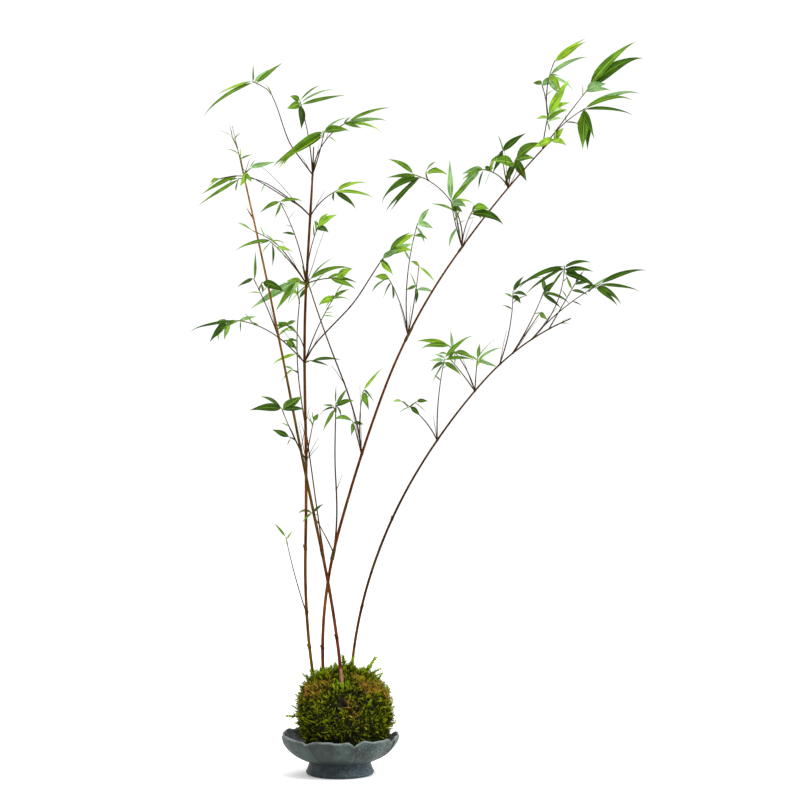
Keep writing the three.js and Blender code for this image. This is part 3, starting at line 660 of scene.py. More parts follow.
# The clumps are the scales of two noises, and freshness is what a clump, luck and height each add to it. Dead sprigs
# lie with so much of their way up and so much sideways. The length is the least share of the longest, what chance
# adds, and how rarely it adds much.
MOSS = {
    "clumps": (7, 17),
    "where_clumps_lie": Vector((1, 5, 2)),
    "freshness": (0.55, 0.8, 0.2),
    "dead_lie": (0.25, 2),
    "length": (0.5, 0.75, 2.5),
    "seed": 11,
    "bare_below": -0.8,
    "bare_hollow": 0.115,
    "scatter": 0.02,
    "stray": 0.42,
    "to_the_light": 0.65,
    "dead_luck": 0.5,
    "bright_from": 0.545,
    "green_from": 0.185,
    "top_proud": 1.6,
    "longest": {"bright": 10.5, "green": 10.0, "shaded": 7.5, "dead": 8.5},
}


def astray(chance, spread=1):
    """A step in a direction by chance."""
    return Vector([chance.gauss(0, spread) for _ in range(3)])


def deal_sprigs(count, seed):
    """Root, tip direction, length, spin and kind of each sprig, by tone."""
    chance = random.Random(seed)
    rows = {"bright": [], "green": [], "shaded": [], "dead": []}
    golden = math.pi * (3 - math.sqrt(5))
    wide, small = MOSS["clumps"]
    by_clump, by_luck, by_height = MOSS["freshness"]
    lift, sprawl = MOSS["dead_lie"]
    least, more, rarity = MOSS["length"]
    for i in range(count):
        z = 1 - 2 * (i + 0.5) / count
        flat = math.sqrt(1 - z * z)
        way = Vector((flat * math.cos(golden * i), flat * math.sin(golden * i), z))
        way = (way + MOSS["scatter"] * astray(chance)).normalized()
        if way.z < MOSS["bare_below"] or (way - HOLLOW).length < MOSS["bare_hollow"]:
            continue
        clump = noise.noise(way * wide + MOSS["where_clumps_lie"]) + 0.5 * noise.noise(way * small)
        luck = chance.random()
        stray = astray(chance) * MOSS["stray"]
        tip = way + UP * MOSS["to_the_light"] * (1 - way.z) + stray
        freshness = by_clump * clump + by_luck * luck + by_height * way.z
        if luck < MOSS["dead_luck"] * deadness(way):
            tone, tip = "dead", way * lift + stray.cross(way) * sprawl
        elif freshness > MOSS["bright_from"]:
            tone = "bright"
        else:
            tone = "green" if freshness > MOSS["green_from"] else "shaded"
        length = MOSS["longest"][tone] * (least + more * chance.random() ** rarity)
        root = ball_point(way, BALL["moss_depth"] + BALL["earth_below"] - MOSS["top_proud"] * max(0.0, way.z))
        spin, kind = chance.uniform(0, math.tau), chance.randrange(len(SPRIGS))
        rows[tone].append((*root, *tip.normalized(), length, spin, kind))
    return {tone: np.array(row) for tone, row in rows.items()}


# %% [markdown]
# Moss leaves are thin and wet, yet the clump as a whole is matt. A plain colour for each tone, with a little
# drift from yellow to green over a few millimetres and a dark foot, is all that the eye can pick out.

# %% Moss
def moss(name, dark, light, foot):
    """Living or dead moss: a matt leaf colour that drifts between two tones over about 6 mm, dark at its foot."""
    material, shader = new_material(name, 0.8, 0.02)
    place = add(material, PLACE, out="Object")
    drift = add(material, NOISE, inputs={"Vector": place, "Scale": 170.0, "Detail": 2.0})
    tone = add(material, RAMP, inputs={"Fac": drift}, stops=((0.35, dark), (0.65, light)))
    height = add(material, MARK, {"attribute_name": "height"}, out="Fac")
    in_light = add(material, RANGE, SMOOTH, {"Value": height, "From Min": 0.1, "From Max": 0.85})
    finished = add(material, MIX, COLOURS, {"Factor": in_light, FIRST: linear(foot), SECOND: tone}, out=MIXED)
    link(material, finished, shader.inputs["Base Color"])
    return material


MOSSES = {
    "bright": moss("fresh_moss_tips", "#566204", "#9da41a", "#060801"),
    "green": moss("green_moss", "#232e01", "#444d03", "#040500"),
    "shaded": moss("shaded_moss", "#121701", "#262c01", "#020300"),
    "dead": moss("dead_moss", "#33230b", "#6b4d20", "#070401"),
}
MOST_IN_A_PIECE = 3000


def make_moss(count):
    """The sprigs of each tone, in pieces that other programs can still handle."""
    for tone, rows in deal_sprigs(count, MOSS["seed"]).items():
        pieces = math.ceil(len(rows) / MOST_IN_A_PIECE)
        for i in range(pieces):
            name = f"moss_{tone}_{i + 1}"
            finish_piece(name, stamp(name, SPRIGS, rows[i::pieces]), MOSSES[tone], smooth=False)


make_moss(12500)

# %% [markdown]
# The ball is not clipped: here and there a long shoot of moss stands out of it, most of all between the feet of
# the canes. Each row below is one such shoot, with the place of its root and the lean and length of its stem,
# and it carries a few shorter sprigs on its sides. It is flat like a feather, and shows its face to the front.
# Coarse brown fibres, old moss and thread, lie across the dead patches.

# %% Stray shoots and dead fibres
SHOOTS = (
    (-9, -6, 128, 12, 13), (6, -4, 129, -6, 19), (9, -4, 129, 22, 15), (8, -10, 128, -18, 9),
    (28, -8, 121, 38, 23), (29, -10, 120, 27, 17), (31, -10, 119, 56, 17), (38, -6, 118, 56, 12),
    (44, -4, 112, 34, 11), (58, -4, 90, 2, 15), (56, -10, 92, -10, 11), (60, -4, 72, 24, 9),
    (-51, -8, 70, -84, 14), (-50, -4, 76, -60, 9), (-51, -2, 86, -44, 9), (-40, -10, 118, -40, 13),
    (-37, -12, 122, -20, 13), (-33, -16, 120, 26, 13), (-34, -14, 120, 10, 12), (-30, -8, 124, 22, 12),
    (-26, -16, 122, 34, 11), (-24, -10, 126, -6, 11), (-20, -4, 128, 30, 11), (-14, -14, 126, 14, 10),
    (0, -18, 126, -22, 11), (12, -8, 128, 24, 10), (20, -2, 126, -10, 9), (24, -12, 122, 30, 9),
    (-46, -20, 60, -64, 8), (61, -8, 58, 62, 8), (-28, -46, 84, -30, 9), (32, -46, 84, 26, 10),
    (0, -46, 112, -16, 8), (9, -47, 112, 14, 8), (4, -50, 106, 4, 9), (-3, -49, 106, -24, 8),
)
# A shoot's turn to the back or the front, how much longer its sprig is than its row says, as a factor and in mm, and
# its spin. Then how many mm there are to a side sprig, how it strays, and its place, length and spin.
SHOOT = {
    "turn": (-0.3, 0.1), "length": (1.15, 4), "spin": (-0.4, 0.4), "side_every": 2.4,
    "side_strays": 0.5, "side_place": (0, 0.6), "side_length": (6, 9.5), "side_spin": (-0.9, 0.9),
    "seed": 3,
}
LONG_SPRIGS = [sprig_shape(bend, 19, 20 + seed, 0.95) for seed, bend in enumerate((0.15, 0.3, 0.05))]


def deal_shoots(seed):
    """Root, tip direction, length, spin and kind of each shoot and of the sprigs on its sides."""
    chance = random.Random(seed)
    rows = []
    longer, more = SHOOT["length"]
    for x, y, z, lean, length in SHOOTS:
        root = ball_point((Vector((x, y, z)) - BALL["centre"]).normalized(), BALL["moss_depth"])
        tip = Vector((math.sin(math.radians(lean)), chance.uniform(*SHOOT["turn"]), math.cos(math.radians(lean))))
        spin, kind = chance.uniform(*SHOOT["spin"]), chance.randrange(len(LONG_SPRIGS))
        rows.append((*root, *tip.normalized(), longer * length + more, spin, kind))
        for _ in range(int(length / SHOOT["side_every"])):
            side = (tip + astray(chance, SHOOT["side_strays"])).normalized()
            place = root + tip * chance.uniform(*SHOOT["side_place"]) * length
            size, spin = chance.uniform(*SHOOT["side_length"]), chance.uniform(*SHOOT["side_spin"])
            rows.append((*place, *side, size, spin, chance.randrange(len(LONG_SPRIGS))))
    return np.array(rows)


# A fibre's shape in shares of its length, how lit its ends are and how much more its middle is, which paints shade on
# its ends, and then where fibres lie and how.
FIBRE = {
    "rings": 6, "waver": 0.05, "waver_turns": 7, "radius": 0.018, "taper": 1.2,
    "light": (0.55, 0.45), "above": 0.1, "clear_of_hollow": 0.15, "lie": Vector((1, 0, -0.4)),
    "strays": 0.5, "lift": (-0.05, 0.3), "depth": (-4.0, 1.0), "length": (7, 15), "count": 300,
    "seed": 9,
}


def fibre_shape(bend, seed):
    """A thin bent fibre, one unit long along +Z, as a tube with three sides."""
    points, triangles, heights = [], [], []
    last = FIBRE["rings"] - 1
    least, more = FIBRE["light"]
    for i in range(last + 1):
        t = i / last
        waver = FIBRE["waver"] * math.sin(FIBRE["waver_turns"] * t + seed)
        centre = Vector((bend * 4 * t * (1 - t), waver, t))
        for k in range(3):
            angle = math.tau * k / 3
            out = Vector((math.cos(angle), math.sin(angle), 0))
            points.append(centre + out * FIBRE["radius"] * (FIBRE["taper"] - t))
            heights.append(least + more * math.sin(math.pi * t))
    for i in range(last):
        for k in range(3):
            a, b = 3 * i + k, 3 * i + (k + 1) % 3
            triangles += [(a, b, b + 3), (a, b + 3, a + 3)]
    triangles += [(2, 1, 0), (3 * last, 3 * last + 1, 3 * last + 2)]
    return np.array(points), np.array(triangles), heights


def deal_fibres(count, seed):
    """Root, tip direction, length, spin and kind of each fibre, all of them where the moss is dead."""
    chance = random.Random(seed)
    rows = []
    while len(rows) < count:
        way = astray(chance).normalized()
        bare = way.z < FIBRE["above"] or (way - HOLLOW).length < FIBRE["clear_of_hollow"]
        if bare or chance.random() > deadness(way) ** 3:
            continue
        flat = FIBRE["lie"] * chance.choice((-1, 1)) + astray(chance, FIBRE["strays"])
        tip = ((flat - way * flat.dot(way)).normalized() + way * chance.uniform(*FIBRE["lift"])).normalized()
        root = ball_point(way, chance.uniform(*FIBRE["depth"]))
        length, spin = chance.uniform(*FIBRE["length"]), chance.uniform(0, math.tau)
        rows.append((*root, *tip, length, spin, chance.randrange(len(FIBRES))))
    return np.array(rows)


FIBRES = [fibre_shape(bend, seed) for seed, bend in enumerate((0.06, 0.14, -0.1, 0.2))]
SHOOT_MOSS = moss("long_moss_shoots", "#4a6706", "#8ba31c", "#1c2903")
FIBRE_BROWN = moss("dead_fibres", "#5f3f14", "#ae7c3a", "#2c1c0a")
for name, shapes, rows, material in (
    ("moss_shoots", LONG_SPRIGS, deal_shoots(SHOOT["seed"]), SHOOT_MOSS),
    ("dead_fibres", FIBRES, deal_fibres(FIBRE["count"], FIBRE["seed"]), FIBRE_BROWN),
):
    finish_piece(name, stamp(name, shapes, rows), material, smooth=False)

# %% [markdown]
# A limb of this plant is walked from its foot: stride by stride its lean changes from one value to the next,
# the way a cane bends under the weight of its leaves. The same walk gives the solids of the part, so the fine
# canes below lie exactly where the solid ones do. A smooth curve through the strides gives any point between.

# %% The walk of a limb
def direction(lean, turn):
    """The heading of a limb: lean from upright, to the right if positive, and turn towards the back."""
    lean, turn = math.radians(lean), math.radians(turn)
    return Vector((math.sin(lean) * math.cos(turn), math.sin(turn), math.cos(lean) * math.cos(turn)))


def mix(start, end, share):
    return start + (end - start) * share


def along(values, share):
    """The value at a share of the way through evenly spaced values."""
    place = share * (len(values) - 1)
    before = min(int(place), len(values) - 2)
    return mix(values[before], values[before + 1], place - before)


def walk(foot, leans, length, turn, steps):
    """The points of a limb, walked from its foot. The length is as seen from the front."""
    stride = length / steps / math.cos(math.radians(turn))
    points = [Vector(foot)]
    for i in range(steps):
        points.append(points[-1] + direction(along(leans, (i + 0.5) / steps), turn) * stride)
    return points


def curve_at(points, share):
    """The point and the heading at a share of the smooth curve through a limb's points."""
    place = min(max(share, 0.0), 1.0) * (len(points) - 1)
    i = min(int(place), len(points) - 2)
    t = place - i
    before = points[i - 1] if i > 0 else points[0] * 2 - points[1]
    after = points[i + 2] if i + 2 < len(points) else points[-1] * 2 - points[-2]
    a, b = points[i], points[i + 1]
    slope_a, slope_b = (b - before) / 2, (after - a) / 2
    bend_2 = 3 * (b - a) - 2 * slope_a - slope_b
    bend_3 = 2 * (a - b) + slope_a + slope_b
    point = a + slope_a * t + bend_2 * t * t + bend_3 * t**3
    heading = slope_a + 2 * bend_2 * t + 3 * bend_3 * t * t
    return point, heading.normalized()


NEAR_ENOUGH = 1e-4


def share_at_height(points, height):
    """The share of a rising limb at which it reaches a height."""
    low, high = 0.0, 1.0
    while high - low > NEAR_ENOUGH:
        middle = (low + high) / 2
        if curve_at(points, middle)[0].z < height:
            low = middle
        else:
            high = middle
    return low


def span(points):
    return sum((b - a).length for a, b in zip(points, points[1:]))


# %% [markdown]
# A cane is a tube that tapers from foot to tip. At each node the sheath of a shed leaf has left a sharp ring,
# and above it the wood swells softly again. The tube starts as one small disc at the foot, which is extruded
# ring by ring: closer together at the nodes, where the radius changes. Last, shallow furrows are pressed into
# the bark, and each point remembers how near it is to a node, for the bark's colour.

# %% Canes
CANES = {
    "upright_cane": {
        "foot": (-29.8, -6), "leans": (-9.5, -4, 1, 0, -1.5, 0, 3, 3.5, 2), "length": 650, "turn": 2,
        "radius": (1.9, 0.9), "bark_radius": (1.95, 1.5), "spike": 0.5,
        "nodes": (152, 193, 270, 377, 494, 589, 671, 721),
    },
    "leaning_cane": {
        "foot": (4.5, -40), "leans": (-5, -12.4, -11, -12.3, -13.5), "length": 690, "turn": 4,
        "radius": (1.9, 0.8), "bark_radius": (2.1, 0.95), "spike": 0.35,
        "nodes": (167, 270, 390, 523, 667, 719, 752),
    },
    "long_cane": {
        "foot": (-20, 12), "leans": (-4, 15, 20.2, 34.6, 43), "length": 712, "turn": 1, "radius": (2.1, 0.9),
        "bark_radius": (2.1, 0.9), "nodes": (149, 265, 383, 527, 634, 706),
    },
    "arching_cane": {
        "foot": (13, 10), "leans": (4, 18.4, 31.4, 41.7, 67), "length": 532, "turn": 5, "radius": (1.5, 0.7),
        "bark_radius": (1.85, 0.85), "nodes": (198, 304, 400, 460, 492, 506, 523, 536),
    },
    "thin_cane": {
        "foot": (1, -22), "leans": (-4, -10, -8, -9, 6), "length": 456, "turn": 7, "radius": (1, 0.6),
        "bark_radius": (1.0, 0.65), "nodes": (190, 300, 400, 482),
    },
}
BOUGHS = {
    "straight_bough": {
        "on": "long_cane", "height": 265, "side": 1, "leans": (9, 1, -4, 0.5, 1.5), "length": 168, "turn": 6,
        "radius": (0.9, 0.6), "nodes": (340,),
    },
    "crossing_bough": {
        "on": "long_cane", "height": 383, "side": 1, "leans": (-5, -16, -22, -20, -18), "length": 205,
        "turn": 6, "radius": (0.9, 0.6), "nodes": (470,),
    },
    "reaching_bough": {
        "on": "upright_cane", "height": 494, "side": -1, "leans": (24, 44, 45, 32, 34), "length": 150,
        "turn": -10, "radius": (0.8, 0.6), "nodes": (560,),
    },
}
GAP = 0.3
NODE_SWELL = 1.3
# From this share of its length on, a cane with a spike thins out to it.
SPIKE_START = 0.88
# How far a ring lies above its node in mm, the radius there against the plain one, and its mark as a node.
NODE_RINGS = (
    (-4.0, 1.0, 0.0), (-1.5, 1.02, 0.2), (-0.5, 1.1, 0.6), (-0.15, 1.3, 1.0), (0.25, 1.32, 1.0),
    (0.6, 1.08, 0.7), (1.3, 1.18, 0.4), (2.4, 1.12, 0.2), (4.5, 1.0, 0.0),
)
# No other ring is as near to a node as this, in mm.
CLEAR_OF_NODE = 5.5
TIP_ROUNDING = 0.6
# How deep the furrows of the bark are against its radius, and their scale across and along the limb.
FURROW, ACROSS_FURROWS, ALONG_FURROWS = 0.05, 1.7, 0.06
RIPPLE, RIPPLE_SCALE = 0.03, 0.8
CANE_STRIDES, BOUGH_STRIDES = 24, 12


def ring_place(centre, heading, radius):
    """The placing of a limb's ring: a unit circle drawn to its radius, across its heading."""
    side = BACK.cross(heading).normalized()
    front = side.cross(heading)
    turned = Matrix((side * radius, front * radius, heading * radius)).transposed().to_4x4()
    return Matrix.Translation(centre) @ turned


def grow_tube(stations, sides):
    """A closed tube through stations of centre, heading, radius and mark, extruded from its first ring."""
    bm = bmesh.new()
    mark = bm.verts.layers.float.new("node")
    before = ring_place(*stations[0][:3])
    disc = bmesh.ops.create_circle(bm, cap_ends=True, segments=sides, radius=1, matrix=before)
    face = disc["verts"][0].link_faces[0]
    for point in face.verts:
        point[mark] = stations[0][3]
    for centre, heading, radius, nearness in stations[1:]:
        grown = bmesh.ops.extrude_face_region(bm, geom=[face])
        face = next(item for item in grown["geom"] if isinstance(item, bmesh.types.BMFace))
        now = ring_place(centre, heading, radius)
        bmesh.ops.transform(bm, matrix=now @ before.inverted(), verts=face.verts[:])
        for point in face.verts:
            point[mark] = nearness
        before = now
    return bm


def limb_stations(points, radius, heights, spacing, spike):
    """Rings at an even spacing in mm, with the rings of each node between them, thinner towards a spike."""
    length = span(points)
    nodes = [share_at_height(points, height) for height in heights]
    rows = [
        (node + rise / length, swell, nearness)
        for node in nodes
        for rise, swell, nearness in NODE_RINGS
        if node + rise / length < 1
    ]
    count = int(length / spacing)
    clear = CLEAR_OF_NODE / length
    rows += [(i / count, 1.0, 0.0) for i in range(count + 1) if all(abs(i / count - n) > clear for n in nodes)]
    rows.sort()
    if rows[-1][0] < 1:
        rows.append((1.0, 1.0, 0.0))
    thin = [1 - (1 - spike) * smooth_step(SPIKE_START, 1, share) for share, _, _ in rows]
    plain = [mix(*radius, row[0]) * fine for row, fine in zip(rows, thin)]
    return [(*curve_at(points, share), r * swell, mark) for (share, swell, mark), r in zip(rows, plain)]


def make_limb(name, points, radius, heights, sides=14, spacing=7.0, from_cane=None, spike=1.0):
    """A limb with its nodes, its furrows and a rounded tip. A bough's foot reaches back to its cane."""
    stations = limb_stations(points, radius, heights, spacing, spike)
    if from_cane:
        stations.insert(0, (points[0] - from_cane, stations[0][1], radius[0], 1.0))
    tip, heading, last, _ = stations[-1]
    stations.append((tip + heading * last * TIP_ROUNDING, heading, last * TIP_ROUNDING, 0.0))
    bm = grow_tube(stations, sides)
    for i, point in enumerate(bm.verts):
        out = point.co - stations[i // sides][0]
        place = Vector((out.x * ACROSS_FURROWS, out.y * ACROSS_FURROWS, point.co.z * ALONG_FURROWS))
        furrow = FURROW * noise.noise(place) + RIPPLE * noise.noise(point.co * RIPPLE_SCALE)
        point.co += out * furrow
    return mesh_of(bm, name)


# %% [markdown]
# The bark of these canes is smooth and thin, brown to reddish like polished wood, with fine streaks that run
# along the cane, and it darkens a little at the nodes. Each cane has its own tones from foot to tip. The old
# ones are olive or maroon at the foot and red brown above, one fades to tan at its tip, and the arching one
# turns from gold at the moss to nearly black brown within a hand's breadth.

# %% Cane bark
def bark(name, *tones):
    """Bamboo bark: a tone for each height in mm, streaks 1 mm wide and 40 mm long, blotches and darker nodes."""
    material, shader = new_material(name, 0.45, 0.02)
    place = add(material, PLACE, out="Object")
    height = add(material, PARTS, inputs={"Vector": place}, out="Z")
    climb = add(material, RANGE, inputs={"Value": height, "From Min": 0.1, "From Max": 0.8})
    tone = add(material, RAMP, inputs={"Fac": climb}, stops=[((up - 100) / 700, colour) for up, colour in tones])
    stretched = add(material, "ShaderNodeMapping", inputs={"Vector": place, "Scale": (1.0, 1.0, 0.035)})
    streaks = add(material, NOISE, inputs={"Vector": stretched, "Scale": 900.0, "Detail": 4.0})
    shade = add(material, RAMP, inputs={"Fac": streaks}, stops=((0.37, "#6c6c6c"), (0.6, "#ffffff")))
    streaked = add(material, MIX, STAIN, {"Factor": 1.0, FIRST: tone, SECOND: shade}, out=MIXED)
    patches = add(material, NOISE, inputs={"Vector": place, "Scale": 60.0, "Detail": 3.0})
    blotch = add(material, RANGE, inputs={"Value": patches, "From Min": 0.5, "From Max": 0.75, "To Max": 0.6})
    blotched = {"Factor": blotch, FIRST: streaked, SECOND: linear("#3d3010")}
    wood = add(material, MIX, COLOURS, blotched, out=MIXED)
    node = add(material, MARK, {"attribute_name": "node"}, out="Fac")
    near_node = add(material, RANGE, inputs={"Value": node, "From Min": 0.4, "From Max": 1.0, "To Max": 0.45})
    darkened = {"Factor": near_node, FIRST: wood, SECOND: linear("#25130a")}
    link(material, add(material, MIX, COLOURS, darkened, out=MIXED), shader.inputs["Base Color"])
    bump = add(material, BUMP, inputs={"Height": streaks, "Strength": 0.25, "Distance": 0.15 * MM})
    link(material, bump, shader.inputs["Normal"])
    return material


# The name of each cane's bark, and its tones by their height in mm.
BARK_TONES = {
    "upright_cane": (
        "red_brown_bark",
        ((130, "#5c480b"), (180, "#633e0d"), (230, "#613608"), (500, "#552a05"), (740, "#582f0a")),
    ),
    "leaning_cane": (
        "tan_bark",
        ((120, "#6e3022"), (190, "#5e2a16"), (290, "#56300c"), (390, "#483706"))
        + ((540, "#6a460c"), (650, "#925e1a"), (735, "#7e6424"), (790, "#50602c")),
    ),
    "long_cane": (
        "polished_brown_bark",
        ((115, "#72331c"), (200, "#6c380e"), (300, "#5c2806"), (520, "#562606"), (740, "#56320e")),
    ),
    "arching_cane": (
        "dark_bark",
        ((118, "#845c10"), (160, "#58330a"), (210, "#421d04"), (330, "#381f06"), (540, "#4a3419")),
    ),
    "thin_cane": ("dull_brown_bark", ((115, "#40270f"), (540, "#4a341c"))),
}
limbs = {}
for name, cane in CANES.items():
    ground = ball_height(*cane["foot"]) - BALL["socket_depth"]
    points = walk((*cane["foot"], ground), cane["leans"], cane["length"], cane["turn"], CANE_STRIDES)
    limbs[name] = {"points": points, "radius": cane["radius"]}
    mesh = make_limb(f"{name}_bark", points, cane["bark_radius"], cane["nodes"], spike=cane.get("spike", 1.0))
    material, tones = BARK_TONES[name]
    finish_piece(f"{name}_bark", mesh, bark(material, *tones), [name])


# %% [markdown]
# Three long boughs grow from nodes of the canes. A bough or a twig leaves its cane at the front or the back,
# beside the ring of the node, and the finest of them start past the tip of what carries them.

# %% Boughs
def foot_beside(limb, height, side, radius):
    """Where a bough or twig of a radius starts: beside the node at a height, or past the tip."""
    points = limb["points"]
    if height is None:
        tip, heading = curve_at(points, 1.0)
        return tip + heading * (radius + GAP)
    share = share_at_height(points, height)
    thick = mix(*limb["radius"], share)
    return curve_at(points, share)[0] + BACK * side * (thick * NODE_SWELL + radius + GAP)


BOUGH_BARK = bark("bough_bark", (260, "#3a2510"), (620, "#422b16"))
# How much thicker a bough shows than its solid, and how far in mm its foot reaches back into its cane.
BOUGH_SHOWN = 1.25
BOUGH_ROOT = 1.2
for name, bough in BOUGHS.items():
    start = foot_beside(limbs[bough["on"]], bough["height"], bough["side"], bough["radius"][0])
    points = walk(start, bough["leans"], bough["length"], bough["turn"], BOUGH_STRIDES)
    limbs[name] = {"points": points, "radius": bough["radius"]}
    reach = BACK * bough["side"] * BOUGH_ROOT
    shown = [BOUGH_SHOWN * radius for radius in bough["radius"]]
    mesh = make_limb(f"{name}_bark", points, shown, bough["nodes"], 10, 6.0, reach)
    finish_piece(f"{name}_bark", mesh, BOUGH_BARK, [name])

# %% [markdown]
# Each spray of leaves grows from one node by a rule: a few twigs, each with its leans from foot to tip, its
# length and its turn to the back, and on each twig a few bunches of leaves. A bunch has a first leaf and a
# last, and the leaves between them change evenly from one to the other. Chance gives each leaf its turn, its
# roll and a little of its lean and length, always the same chance, because the stream of numbers starts from
# a fixed seed for each spray. Here the rule is carried one step finer than in the solids: every leaf gets its
# own thin stalk, and a blade that folds along its midrib and bends down to a drawn-out point.

